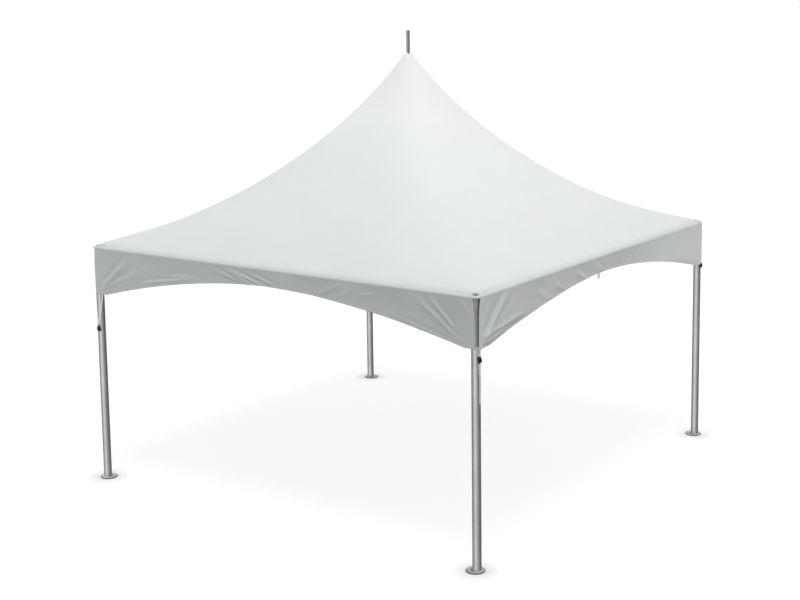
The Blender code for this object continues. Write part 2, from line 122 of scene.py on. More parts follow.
class Nodes:
    """The nodes of a material or of the world. A method adds a node and returns its output."""

    def __init__(self, owner):
        owner.use_nodes = True
        self.owner, self.nodes = owner, owner.node_tree.nodes

    def feed(self, entry, value):
        """Links an input to the output that is given, or sets it to a value."""
        if isinstance(value, bpy.types.NodeSocket):
            self.owner.node_tree.links.new(value, entry)
        else:
            entry.default_value = value

    def node(self, kind, inputs=None, output=0, **settings):
        made = self.nodes.new("ShaderNode" + kind)
        for key, value in settings.items():
            setattr(made, key, value)
        for key, value in (inputs or {}).items():
            self.feed(made.inputs[key], value)
        return made.outputs[output]

    def place(self, scale=(1, 1, 1)):
        """The object's own coordinates, times a scale for each axis."""
        return self.node("Mapping", {"Vector": self.node("TexCoord", output="Object"), "Scale": scale})

    def parts(self, vector):
        """The X, the Y and the Z of a vector."""
        return self.node("SeparateXYZ", {0: vector}).node.outputs[:]

    def scalar(self, operation, first, second):
        return self.node("Math", {0: first, 1: second}, operation=operation)

    def vector(self, operation, *inputs, output="Vector"):
        return self.node("VectorMath", dict(enumerate(inputs)), output, operation=operation)

    def span(self, value, source, target):
        """A value brought from one range to another."""
        limits = zip(("From Min", "From Max", "To Min", "To Max"), (*source, *target))
        return self.node("MapRange", {"Value": value, **dict(limits)})

    def noise(self, scale, detail=2.0, roughness=0.5, stretch=(1, 1, 1)):
        inputs = {"Vector": self.place(stretch), "Scale": scale, "Detail": detail, "Roughness": roughness}
        return self.node("TexNoise", inputs, "Fac")

    def weave(self, pitch, stretch=(1, 1, 1)):
        """A plain weave, as the product of two rows of threads."""
        rows = []
        for direction in ("X", "DIAGONAL"):
            inputs = {"Vector": self.place(stretch), "Scale": 1 / pitch / WAVE_BANDS,
                      "Distortion": 0.4, "Detail": 1.0}
            rows.append(self.node("TexWave", inputs, "Fac", bands_direction=direction))
        return self.scalar("MULTIPLY", *rows)

    def ramp(self, source, stops):
        """A colour ramp from (position, colour) pairs; a plain number is a grey."""
        made = self.node("ValToRGB", {"Fac": source})
        elements = made.node.color_ramp.elements
        while len(elements) < len(stops):
            elements.new(0.5)
        for element, (position, colour) in zip(elements, stops):
            element.position = position
            grey = isinstance(colour, (int, float))
            element.color = (colour, colour, colour, 1) if grey else (*colour, 1)
        return made

    def patchy(self, source, colour, dim, low=0.35, high=0.65):
        """A colour that goes down to a share of itself where the source is low."""
        return self.ramp(source, [(low, tuple(part * dim for part in colour)), (high, colour)])

    def finish(self, inputs, *bumps):
        """Feeds the shader, with bump layers, each (height, strength, distance), on its normal."""
        normal = {}
        for height, strength, distance in bumps:
            layer = {"Height": height, "Strength": strength, "Distance": distance}
            normal = {"Normal": self.node("Bump", {**layer, **normal})}
        for key, value in {**inputs, **normal}.items():
            self.feed(self.nodes["Principled BSDF"].inputs[key], value)
        return self.owner


def material(name):
    return Nodes(bpy.data.materials.new(name))


# How much painted light the cloth gets from the eaves, 0, to the peak, 1, lighter towards the peak; the
# valances take the first value, a painted shade
PAINTED_LIGHT_BY_HEIGHT = [(0.0, (0.605, 0.620, 0.616)), (0.02, (0.755, 0.768, 0.773)), (0.20, (0.796, 0.798, 0.802)),
         (0.42, (0.834, 0.840, 0.848)), (0.68, 0.912), (1.0, 0.915)]
# How much lighter the valances are painted at the back, painted light, and how they go from painted light at
# the left to painted shade at the right
FAR_PAINTED_LIGHT = 0.18
LEFT_PAINTED_LIGHT, RIGHT_PAINTED_SHADE = 0.075, -0.040
# How much painted shade the peak gets where it faces right, and how much painted light where it faces left
PEAK_PAINTED_SHADING = 0.045
# Where these changes run along Y, along X and upwards, and where the valances begin
FAR, ACROSS, PEAK, HUNG_Z = (0.3, 1.3), (-2.3, 1.9), (2.9, 3.7), EAVE_Z - 0.004


def vinyl(name, colour, dim):
    """Coated white tent cloth: a soft sheen, a fine weave under the coat, faint soil marks, and painted
    light and shade: lighter towards the peak, darker valances, and the peak's sides lit by which way they
    face.
    """
    cloth = material(name)
    x, y, z = cloth.parts(cloth.place())
    soiled = cloth.patchy(cloth.noise(1.3, 5, 0.6), colour, dim, 0.30, 0.62)
    # Painted light and shade by height: lighter towards the peak, and the valances darker
    painted_by_height = cloth.vector("MULTIPLY", soiled, cloth.ramp(cloth.span(z, (EAVE_Z, APEX_Z), (0, 1)), PAINTED_LIGHT_BY_HEIGHT))
    # Painted light and shade on the valances: lighter at the back and at the left, darker at the right
    uneven = cloth.scalar("ADD", cloth.span(y, FAR, (0, FAR_PAINTED_LIGHT)),
                          cloth.span(x, ACROSS, (LEFT_PAINTED_LIGHT, RIGHT_PAINTED_SHADE)))
    valance = cloth.scalar("MULTIPLY", uneven, cloth.scalar("LESS_THAN", z, HUNG_Z))
    # Painted light and shade near the peak, by which way the cloth faces
    facing = cloth.parts(cloth.node("TexCoord", output="Normal"))[0]
    sideways = cloth.span(facing, (-0.6, 0.6), (1 + PEAK_PAINTED_SHADING, 1 - PEAK_PAINTED_SHADING))
    peak = cloth.node("Mix", {"Factor": cloth.span(z, PEAK, (0, 1)), "A": 1.0, "B": sideways}, "Result",
                      data_type="FLOAT")
    lifted = cloth.vector("MULTIPLY", painted_by_height, cloth.scalar("ADD", valance, peak))
    gloss = cloth.ramp(cloth.noise(9, 3), [(0.3, 0.42), (0.7, 0.56)])
    inputs = {"Base Color": lifted, "Roughness": gloss, "Specular IOR Level": 0.32, "Sheen Weight": 0.06}
    return cloth.finish(inputs, (cloth.noise(7, 3, 0.55), 0.12, 0.010),
                        (cloth.noise(34, 2, 0.5, (1, 1, 1.7)), 0.10, 0.002),
                        (cloth.weave(0.0022), 0.15, 0.0002))


ALUMINIUM = (0.66, 0.66, 0.65)
ALONG_X, ALONG_Y, ALONG_Z, ALL_WAYS = (0.01, 1, 1), (1, 0.01, 1), (1, 1, 0.01), (1, 1, 1)


def brushed_metal(name, colour, rough, drawn, grain=900, metallic=1.0, painted_shade_above=None, painted_shade_round=None):
    """Metal with fine lines along one axis, darker patches and small scuffs.

    A tuple (from, to, share) keeps only that share of the colour above a height: painted shade. A pair
    (centre, ramp stops) darkens the colour by the distance from the four mirrored places of the centre:
    painted shade.
    """
    metal = material(name)
    tone = metal.patchy(metal.noise(6, 4, 0.6), colour, 0.86)
    if painted_shade_above:
        # Painted shade: the colour above a height is kept at a share of itself
        height = metal.parts(metal.place())[2]
        tone = metal.vector("MULTIPLY", tone, metal.span(height, painted_shade_above[:2], (1, painted_shade_above[2])))
    if painted_shade_round:
        # Painted shade: darker by the distance from a centre
        mirrored = metal.vector("ABSOLUTE", metal.place((1, 1, 0)))
        away = metal.vector("DISTANCE", mirrored, painted_shade_round[0], output="Value")
        tone = metal.vector("MULTIPLY", tone, metal.ramp(away, painted_shade_round[1]))
    lines = metal.noise(grain, 2, 0.6, drawn)
    gloss = metal.ramp(lines, [(0.3, rough * 0.85), (0.7, rough * 1.2)])
    return metal.finish({"Metallic": metallic, "Base Color": tone, "Roughness": gloss},
                        (lines, 0.10, 0.0002), (metal.noise(60, 4, 0.7), 0.06, 0.0006))


def cast_metal(name, colour, rough):
    """Sand-cast metal with a grainy skin."""
    metal = material(name)
    patches, grains = metal.noise(14, 4, 0.6), metal.noise(700, 3, 0.7)
    gloss = metal.ramp(grains, [(0.3, rough * 0.9), (0.7, min(rough * 1.2, 1))])
    inputs = {"Metallic": 1.0, "Base Color": metal.patchy(patches, colour, 0.75), "Roughness": gloss}
    return metal.finish(inputs, (grains, 0.35, 0.0004), (patches, 0.1, 0.001))


def webbing(name, colour):
    """Woven polyester strap."""
    strap = material(name)
    threads = strap.weave(0.0016, (1, 1, 0.8))
    inputs = {"Base Color": strap.patchy(strap.noise(30, 4, 0.6), colour, 0.82, high=0.6),
              "Roughness": strap.ramp(threads, [(0.0, 0.85), (1.0, 0.7)]), "Sheen Weight": 0.15}
    return strap.finish(inputs, (threads, 0.5, 0.0005))


def black_coat(name):
    """Black coated metal, a little worn."""
    coat = material(name)
    patches = coat.noise(90, 4, 0.65)
    inputs = {"Base Color": coat.ramp(patches, [(0.35, 0.010), (0.7, 0.022)]),
              "Roughness": coat.ramp(patches, [(0.3, 0.34), (0.7, 0.5)])}
    return coat.finish(inputs, (coat.noise(1500, 2), 0.2, 0.0002))


VINYL = vinyl("white_vinyl", (0.855, 0.877, 0.877), 0.975)
RIM_VINYL = vinyl("reinforced_vinyl", (0.88, 0.895, 0.89), 0.97)
TAB_VINYL = vinyl("tab_vinyl", (0.70, 0.715, 0.71), 0.97)
TUBE = brushed_metal("aluminium_tube", ALUMINIUM, 0.30, ALONG_Z)
BEAM_X = brushed_metal("aluminium_beam_x", ALUMINIUM, 0.30, ALONG_X)
BEAM_Y = brushed_metal("aluminium_beam_y", ALUMINIUM, 0.30, ALONG_Y)
# The leg is painted in shade above 1.93 m, where it stands between the valances
LEG = brushed_metal("leg_aluminium", ALUMINIUM, 0.30, ALONG_Z, painted_shade_above=(1.93, 1.99, 0.58))
DULL = brushed_metal("dull_aluminium", (0.36, 0.36, 0.36), 0.32, ALONG_Z)
CAST = cast_metal("cast_aluminium", (0.60, 0.60, 0.59), 0.38)
# A darker copy of the cast metal for the corner fittings: painted shade where they stand between the
# valances
SHADED_CORNER_CAST = cast_metal("corner_casting", (0.35, 0.35, 0.345), 0.42)
# A darker metal at the floor of each cap's recess: painted shade
SHADED_RECESS = cast_metal("recess_metal", (0.40, 0.40, 0.40), 0.7)
# Painted shade on the plates: darker round the foot of the leg and towards the rim
PLATE_PAINTED_SHADE = [(LEG_R + 0.004, 0.40), (LEG_R + 0.016, 0.92), (PLATE_R - 0.017, 0.92), (PLATE_R - 0.008, 0.38)]
STEEL = brushed_metal("plate_steel", (0.80, 0.80, 0.79), 0.50, ALL_WAYS, 300, 0.35,
                      painted_shade_round=((HALF - PLATE_SHIFT, HALF, 0), PLATE_PAINTED_SHADE))
PLATE_EDGE = cast_metal("plate_edge", (0.15, 0.15, 0.147), 0.55)
WIRE = brushed_metal("wire_rope", (0.52, 0.52, 0.53), 0.34, ALL_WAYS, 500)
BOLT = brushed_metal("zinc_bolt", (0.60, 0.60, 0.58), 0.30, ALL_WAYS, 400)
WEB = webbing("white_webbing", (0.95, 0.95, 0.94))
GREY_WEB = webbing("grey_webbing", (0.50, 0.50, 0.49))
THREAD = webbing("sewing_thread", (0.70, 0.70, 0.68))
BLACK = black_coat("black_buckle")


# Shapes: each is (points, faces), and Piece joins them into one object


def circle(radius, steps):
    turns = [tau * step / steps for step in range(steps)]
    return [(radius * cos(turn), radius * sin(turn)) for turn in turns]


def lathe(profile, steps):
    """A solid of revolution about Z from (radius, height) points down its outer side."""
    if profile[0][0]:
        profile = [(0, profile[0][1])] + profile
    if profile[-1][0]:
        profile = profile + [(0, profile[-1][1])]
    points, rings, faces = [], [], []
    for radius, height in profile:
        ring = circle(radius, steps) if radius > 1e-6 else [(0, 0)]
        rings.append(range(len(points), len(points) + len(ring)))
        points += [(x, y, height) for x, y in ring]
    for upper, lower in zip(rings, rings[1:]):
        for step in range(steps):
            after = (step + 1) % steps
            corners = [(upper, step), (lower, step), (lower, after), (upper, after)]
            face = list(dict.fromkeys(row[turn % len(row)] for row, turn in corners))
            if len(face) > 2:
                faces.append(face)
    return points, faces


def grid_faces(rows, count, closed=False, flip=False):
    """Faces between rows of points, each a closed loop; closed joins the last row to the first."""
    faces = []
    for row in range(rows if closed else rows - 1):
        this, after = row * count, (row + 1) % rows * count
        for index in range(count):
            beside = (index + 1) % count
            face = (this + index, this + beside, after + beside, after + index)
            faces.append(face[:1] + face[:0:-1] if flip else face)
    return faces


def spun(profile, steps, flip=False):
    """A ring-shaped solid of revolution about Z from a closed profile."""
    points = [(radius * x, radius * y, height) for x, y in circle(1, steps) for radius, height in profile]
    return points, grid_faces(steps, len(profile), closed=True, flip=flip)


def bead(major, minor, height, steps=48):
    """A torus about Z."""
    return spun([(major + x, height + z) for x, z in circle(minor, 8)], steps, flip=True)


def loft(rows, flip=False):
    """A solid from rows of points, each row a closed loop, with its two ends filled."""
    count, last = len(rows[0]), (len(rows) - 1) * len(rows[0])
    ends = [tuple(range(count - 1, -1, -1)), tuple(range(last, last + count))]
    if flip:
        ends = [end[::-1] for end in ends]
    return [point for row in rows for point in row], grid_faces(len(rows), count, flip=flip) + ends


def swept(path, section):
    """A section, (across, up) points, carried along a path of (point, across, up)."""
    return loft([[centre + across * side + up * rise for side, rise in section]
                 for centre, across, up in path])


def flat_section(half, thick):
    return [(-half, -thick), (half, -thick), (half, thick), (-half, thick)]


def edge(radius, height, *steps):
    """Points of a profile: steps from a radius and a height, (outwards, up) in millimetres."""
    return [(radius + out / 1000, height + up / 1000) for out, up in steps]


def rod(radius, top, low, between=(), narrow=0.001, ease=0.001):
    """The profile of a round bar with eased ends, and with rings at some heights between."""
    rings = [(radius, height) for height in (top - ease, *between, low + ease)]
    return [(radius - narrow, top), *rings, (radius - narrow, low)]


def block(size, round_by):
    """A box about the origin with rounded edges."""
    shape = bmesh.new()
    bmesh.ops.create_cube(shape, size=1)
    bmesh.ops.scale(shape, verts=shape.verts, vec=size)
    bmesh.ops.bevel(shape, geom=shape.edges[:], offset=round_by, segments=2, profile=0.5, affect="EDGES")
    shape.verts.index_update()
    made = ([vert.co[:] for vert in shape.verts],
            [[vert.index for vert in face.verts] for face in shape.faces])
    shape.free()
    return made


WASHER = 0.0015


def bolt(head=0.011, tall=0.007, washer=0.013):
    """A hexagon head on a washer, its underside at the origin."""
    points, faces = lathe([(washer, WASHER), (washer, 0)], 24)
    more, hexagon = lathe([(head * 0.86, tall + WASHER), (head, tall), (head, WASHER)], 6)
    return points + more, faces + [[len(points) + corner for corner in face] for face in hexagon]


SHARP_ANGLE = 35


class Piece:
    def __init__(self, name, place=Matrix()):
        self.name, self.place = name, place
        self.points, self.faces, self.marks, self.materials = [], [], [], []

    def add(self, shape, finish, at=Matrix()):
        """Adds a shape, in the piece's own frame or at a place in it."""
        points, faces = shape
        if finish not in self.materials:
            self.materials.append(finish)
        start = len(self.points)
        self.points += [tuple(self.place @ at @ Vector(point)) for point in points]
        self.faces += [tuple(start + corner for corner in face) for face in faces]
        self.marks += [self.materials.index(finish)] * len(faces)
        return self

    def turned(self, profile, finish, steps=24, at=Matrix()):
        """Adds a solid of revolution."""
        return self.add(lathe(profile, steps), finish, at)

    def make(self, slot, *nodes):
        made = new_object(self.name, self.points, self.faces)
        for finish in self.materials:
            made.data.materials.append(finish)
        made.data.polygons.foreach_set("material_index", self.marks)
        made.data.shade_smooth()
        made.data.set_sharp_from_angle(angle=radians(SHARP_ANGLE))
        return fit(made, nodes)


def new_object(name, points, faces):
    """An object with its mesh, linked to the scene."""
    mesh = bpy.data.meshes.new(name)
    mesh.from_pydata(points, [], faces)
    made = bpy.data.objects.new(name, mesh)
    bpy.context.scene.collection.objects.link(made)
    return made


def fit(made, nodes):
    """Every piece rides on the one body; nodes are the CAD solids that it stands for."""
    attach(made, "root")
    if nodes:
        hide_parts(*nodes)
    return made


def cut(made, piece):
    """Cuts a helper's shape out of an object for good."""
    helper = new_object(piece.name, piece.points, piece.faces)
    boolean = made.modifiers.new("Cut", "BOOLEAN")
    boolean.operation = "DIFFERENCE"
    boolean.object = helper
    graph = bpy.context.evaluated_depsgraph_get()
    mesh = bpy.data.meshes.new_from_object(made.evaluated_get(graph))
    mesh.name = made.name
    unused = made.data, helper.data
    made.modifiers.clear()
    made.data = mesh
    bpy.data.objects.remove(helper)
    for old in unused:
        bpy.data.meshes.remove(old)


def polar(degrees, radius=1.0, height=0.0):
    angle = radians(degrees)
    return Vector((radius * cos(angle), radius * sin(angle), height))


def turn_z(degrees):
    return Matrix.Rotation(radians(degrees), 4, "Z")


def along(axis, at):
    """A placement that turns +Z to an axis, at a point."""
    turn = Vector((0, 0, 1)).rotation_difference(Vector(axis).normalized()).to_matrix().to_4x4()
    return Matrix.Translation(at) @ turn


def corner_place(name):
    """A corner's own frame: its two faces look to +X and -Y."""
    side_x, side_y, turn = CORNERS[name][:3]
    return Matrix.Translation((side_x * HALF, side_y * HALF, 0)) @ turn_z(turn)


# Legs, plates and castings

DIAGONALS = (45, 135, 225, 315)
LEG_RINGS = (1.5, 0.8)
WELD_R, WELD_WAVE = 0.0042, 0.010
LEG_BOLT_Z = 2.15
PLATE_STEPS = 96


def leg_and_plate(name, place):
    foot = PLATE_THICK + GAP
    leg = Piece("tent_leg_" + name, place).turned(rod(LEG_R, LEG_TOP_Z, foot, LEG_RINGS), LEG, 72)
    points, faces = bead(LEG_R + 0.0005, WELD_R, foot + 0.0012, 72)
    waves = [1 + WELD_WAVE * sin(9 * index) for index in range(len(points))]
    leg.add(([(x * wave, y * wave, z) for (x, y, z), wave in zip(points, waves)], faces), CAST)
    for angle in (45, 225):
        at = along(polar(angle), polar(angle, LEG_R - 0.0004, LEG_BOLT_Z))
        leg.turned([(0.004, 0.003), (0.006, 0)], BOLT, at=at)
    leg.make("aluminium_tube", "leg_" + name)

    side_x, side_y = CORNERS[name][:2]
    at = Matrix.Translation((side_x * (HALF - PLATE_SHIFT), side_y * HALF, 0))
    disc = edge(PLATE_R, PLATE_THICK, (-1.6, 0), (-0.4, -0.5), (0, -1.8))
    disc += edge(PLATE_R, 0, (0, 0.8), (-0.8, 0))
    plate = Piece("foot_plate_" + name, at).turned(disc, STEEL, PLATE_STEPS)
    # The rings of faces from the eased upper edge down to the lower one have the darker finish
    plate.materials.append(PLATE_EDGE)
    plate.marks = [int(2 * PLATE_STEPS <= index < 5 * PLATE_STEPS) for index in range(len(plate.faces))]
    plate = plate.make("plate_steel", "base_plate_" + name)
    holes = Piece("holes", at)
    for angle in DIAGONALS:
        profile = [(STAKE_HOLE_R + 0.01, 0.02), (STAKE_HOLE_R, PLATE_THICK - 0.001), (STAKE_HOLE_R, -0.01)]
        holes.turned(profile, STEEL, 32, Matrix.Translation(polar(angle, STAKE_CIRCLE_R)))
    cut(plate, holes)


# The cap on each leg follows the cloth: it leans out over the corner
CAP_TALL, CAP_WELL_R, CAP_LEAN = 0.0130, 0.0268, 0.22
SOCKET_BOLTS, SOCKET_BOLT = (0.085, 0.120), {"head": 0.009, "tall": 0.006, "washer": 0.011}
LUG_ROUND, PIN_INSET = 0.003, 0.016


def leaning(shape):
    """A cap's shape, drawn from height 0, set on the casting and sheared down to the outside."""
    points, faces = shape
    made = []
    for x, y, z in points:
        outwards = (x - y) / sqrt(2)
        made.append((x, y, FITTING_TOP_Z + GAP + z - CAP_LEAN * outwards * max(z, 0) / CAP_TALL))
    return made, faces


def casting(name, place):
    body = edge(LEG_R, FITTING_TOP_Z, (-6, 0), (-2, -2), (0, -7))
    body += edge(LEG_R, LEG_TOP_Z + GAP, (0, 12), (-1.5, 10), (0, 8), (0, 1), (-1, 0))
    piece = Piece("corner_casting_" + name, place).turned(body, SHADED_CORNER_CAST, 64)
    socket = edge(SOCKET_R, SOCKET_REACH, (-2.5, 0), (-1, -1), (0, -4), (0, -14), (-1.5, -18))
    socket = lathe(socket + edge(SOCKET_R, 0, (-1.5, 60), (0, 50), (0, 0)), 56)
    for axis in ((-1, 0, 0), (0, 1, 0)):
        piece.add(socket, SHADED_CORNER_CAST, along(axis, (0, 0, BEAM_Z)))
        for share in SOCKET_BOLTS:
            at = Vector(axis) * share + Vector((0, 0, BEAM_Z - SOCKET_R + 0.0012))
            piece.add(bolt(**SOCKET_BOLT), BOLT, along((0, 0, -1), at))
    inwards = turn_z(135)
    lug = block((LUG_REACH, LUG_WIDTH, LUG_HEIGHT), LUG_ROUND)
    piece.add(lug, SHADED_CORNER_CAST, inwards @ Matrix.Translation((LUG_REACH / 2, 0, LUG_Z)))
    pin = edge(0, 0, (9, 18), (10, 16), (10, 11.5), (6, 11.5), (6, -11.5), (10, -11.5), (10, -18))
    piece.turned(pin, BOLT, at=inwards @ along((0, 1, 0), (LUG_REACH - PIN_INSET, 0, LUG_Z)))
    piece.make("cast_aluminium", "corner_fitting_" + name)

    floor = CAP_TALL - CAP_RECESS_DEPTH
    shell = edge(CAP_WELL_R, floor, (-1, 0), (0, 1)) + edge(CAP_WELL_R, CAP_TALL, (0, -0.6), (0.6, 0))
    shell += edge(CAP_R, CAP_TALL, (-0.6, 0), (0, -0.6)) + [(CAP_R, 0)]
    disc = edge(CAP_WELL_R, floor, (-1, 1.4), (-1, 0.2))
    cap = Piece("leg_cap_ring_" + name, place).add(leaning(lathe(shell, 56)), CAST)
    cap.add(leaning(lathe(disc, 40)), SHADED_RECESS).make("cast_aluminium", "leg_cap_" + name)


def beam(side, turn):
    half = HALF - SOCKET_REACH - GAP
    finish = BEAM_X if turn % 180 == 0 else BEAM_Y
    place = turn_z(turn) @ along((1, 0, 0), (0, -HALF, BEAM_Z))
    tube = Piece("eave_tube_" + side, place).turned(rod(BEAM_R, half, -half, (0,)), finish, 56)
    tube.make("aluminium_tube", "eave_beam_" + side)


# Wire ropes, hub and mast

STRANDS, STRAND_R, COIL_R, LAY = 6, 0.0018, 0.0031, 0.085
THREAD_STEPS = 28
HUB_BOLT_CIRCLE = 0.072


def wire_rope(name):
    """A laid rope between two swages, with a tensioner at its outer end."""
    side_x, side_y = CORNERS[name][:2]
    inwards = HALF - (LUG_REACH + 0.001) / sqrt(2)
    outer = Vector((side_x * inwards, side_y * inwards, LUG_Z))
    at_rim = (HUB_R + 0.001) / sqrt(2)
    inner = Vector((side_x * at_rim, side_y * at_rim, HUB_BOTTOM_Z + HUB_RIM / 2))
    length = (inner - outer).length
    place = Matrix.Translation(outer) @ (inner - outer).to_track_quat("Z", "Y").to_matrix().to_4x4()
    piece = Piece("wire_rope_" + name, place)
    tail = TENSIONER_START + TENSIONER_LENGTH
    start, end = tail + 0.06, length - 0.05
    turns = (end - start) / LAY
    steps = int(turns * 9)
    for strand in range(STRANDS):
        line = []
        for step in range(steps + 1):
            angle = tau * (turns * step / steps + strand / STRANDS)
            x, y = cos(angle), sin(angle)
            at = Vector((COIL_R * x, COIL_R * y, start + (end - start) * step / steps))
            line.append((at, Vector((x, y, 0)), Vector((-y, x, 0))))
        piece.add(swept(line, circle(STRAND_R, 5)), WIRE)
    piece.turned([(0.0022, end), (0.0022, start)], WIRE, 8)
    piece.turned(edge(SWAGE_R, length, (0, 0), (0, -20), (-2, -26), (-2, -80), (-3, -92)), BOLT)
    piece.turned(edge(SWAGE_R, tail, (-3, 92), (-2, 80), (-2, -20)), BOLT)
    top, low = tail - 0.012, TENSIONER_START + 0.020
    screw = [(0, tail - 0.01)]
    screw += [(0.0062 if step % 2 else 0.0052, top - (top - low) * step / THREAD_STEPS)
              for step in range(THREAD_STEPS)]
    screw += edge(SWAGE_R, 0, (-3.5, 50), (-1.5, 46), (0, 30), (0, 0))
    piece.turned(screw, BOLT, 16)
    for boss in (TENSIONER_START + 0.016, tail - 0.016):
        piece.turned(rod(0.0135, boss + 0.016, boss - 0.016, narrow=0.0025, ease=0.004), CAST)
        piece.turned(edge(0.010, boss, (0, 24), (0, 16)), BOLT, 6)
    bar = block((0.006, 0.010, TENSIONER_LENGTH - 0.02), 0.002)
    for side in (-1, 1):
        at = Matrix.Translation((side * 0.0112, 0, TENSIONER_START + TENSIONER_LENGTH / 2))
        piece.add(bar, CAST, at)
    piece.make("wire_rope", "cross_cable_" + name)


def level_height(level):
    """Height of the plain sheet on a level curve: 0 is the peak and 1 the eaves."""
    curve = 1 + HANG[0] * level + HANG[1] * level**2 + HANG[2] * level**3
    return EAVE_Z + (APEX_Z - EAVE_Z) * (1 - level) * curve


def sheet_height(radius):
    """Height of the smooth sheet near the mast."""
    return level_height(radius / SHEET_HALF) + peak_rise(radius)


def under_sheet(radius):
    """Height of the sheet's underside near the mast."""
    step = 0.001
    level = radius / SHEET_HALF
    slope = (level_height(level + step) - level_height(level)) / (step * SHEET_HALF)
    return float(sheet_height(radius) - SHEET_THICK * hypot(1, slope))


# The boot at the peak rises against the rod, less so over the front and back hips
BOOT_RISE, BOOT_SLIT = 0.030, 0.024
BOOT_R, BOOT_FROM, BOOT_TO = 0.075, 0.078, 0.024
BOOT_STEPS = 22
DOME, DOME_STEPS = 0.010, 8


def mast():
    rim, boss, base = HUB_BOTTOM_Z + HUB_RIM, HUB_BOSS_R, HUB_BOTTOM_Z
    profile = edge(boss, HUB_TOP_Z, (-11, 0), (-2, -1), (0, -5)) + edge(boss, rim, (0, 10), (3, 4), (10, 0))
    profile += edge(HUB_R, rim, (-3, 0), (0, -3)) + edge(HUB_R, base, (0, 3), (-3, 0))
    profile += edge(boss, base, (0, 0), (-20, -20))
    hub = Piece("mast_hub_casting").turned(profile, CAST, 72)
    for angle in DIAGONALS:
        hub.add(bolt(), BOLT, Matrix.Translation(polar(angle, HUB_BOLT_CIRCLE, rim - 0.0008)))
        hub.add(bolt(), BOLT, along((0, 0, -1), polar(angle, HUB_BOLT_CIRCLE, base + 0.0008)))
    hub.make("cast_aluminium", "mast_hub")

    foot = HUB_TOP_Z + GAP
    tube = Piece("mast_tube").turned(rod(MAST_R, MAST_TUBE_TOP_Z, foot, (3.2,)), TUBE, 48)
    tube.add(bead(MAST_R, 0.003, foot + 0.004), CAST).make("aluminium_tube", "centre_mast")

    low, middle = MAST_TUBE_TOP_Z + GAP, (CONE_R + CONE_TOP_R) / 2
    top = under_sheet(CONE_TOP_R) - GAP
    profile = edge(CONE_TOP_R, top, (-2, 0), (0, -2)) + [(middle, under_sheet(middle) - 0.002)]
    profile += edge(CONE_R, under_sheet(CONE_R) - GAP, (-2, -1), (0, -4), (0, -9), (-3, -12))
    profile += edge(0.033, low, (12, 18), (0, 4), (0, 0))
    Piece("peak_cone_spun").turned(profile, CAST, 72).make("cast_aluminium", "peak_cone")

    dome = MAST_TOP_Z - DOME
    bar = [(ROD_R, dome - 0.0042), (ROD_R, 4.40), (ROD_R, top)]
    Piece("mast_top_rod").turned(bar, DULL, 48).make("aluminium_tube", "mast_rod")
    turns = [pi / 2 * step / DOME_STEPS for step in range(DOME_STEPS + 1)]
    tip = [(ROD_R * sin(turn), dome + DOME * cos(turn)) for turn in turns]
    tip += edge(ROD_R, dome, (0, -3), (-1, -3.8))
    Piece("mast_tip_dome").turned(tip, DULL, 48).make("aluminium_tube", "mast_tip")

    outer = []
    for step in range(BOOT_STEPS + 1):
        radius = BOOT_R + (ROD_R + 0.0022 - BOOT_R) * step / BOOT_STEPS
        lift = 0.0012 + BOOT_RISE * smooth(BOOT_FROM, BOOT_TO, radius) + 0.003 * smooth(0.026, 0.019, radius)
        outer.append((radius, float(sheet_height(radius)) + lift))
    inner = [(max(radius - 0.0008, ROD_R + 0.0006), height - 0.0010) for radius, height in reversed(outer)]
    points, faces = spun(outer + inner, 72)
    slit = []
    for x, y, z in points:
        radius = hypot(x, y)
        towards = abs(x - y) / radius / sqrt(2)
        slit.append((x, y, z - BOOT_SLIT * float(smooth(BOOT_FROM, BOOT_TO, radius)) * towards**4))
    boot = Piece("peak_boot").add((slit, faces), RIM_VINYL)
    boot.add(bead(ROD_R + 0.0030, 0.0016, outer[-1][1] - BOOT_SLIT - 0.003), BOLT)
    boot.make("white_vinyl", "peak_collar")


# The canopy: one continuous sheet from the peak over the eaves to the hems

FOLD = 0.010
LIP = 0.013
FLARE, FLARE_REACH = 0.013, 0.15
SLOT_CLOSE = 0.010
HEM, PLY = 0.022, 0.0011
VALANCE_ROWS = 24
GROMMET_R = 0.031
PEAK_RISE, PEAK_REACH, PEAK_EASE = 0.034, 0.25, 0.042
# How high the cloth stands over the hips, and how far from the corner it has risen
HIPS = {(-1, -1): (0.042, 0.09), (1, -1): (0.028, 0.13), (1, 1): (0.030, 0.11), (-1, 1): (0.033, 0.11)}

# The hem's section, from the seam down round the edge and up behind: (height above the edge,
# step outwards) in metres
HEM_SECTION = [(HEM + 0.002, 0.0), (HEM, -0.0006), (HEM - 0.003, 0.0008), (HEM / 2, PLY), (0.002, 0.0009),
               (0.0, 0.0), (0.002, -PLY), (HEM / 2, -0.0014), (HEM - 0.002, -PLY)]

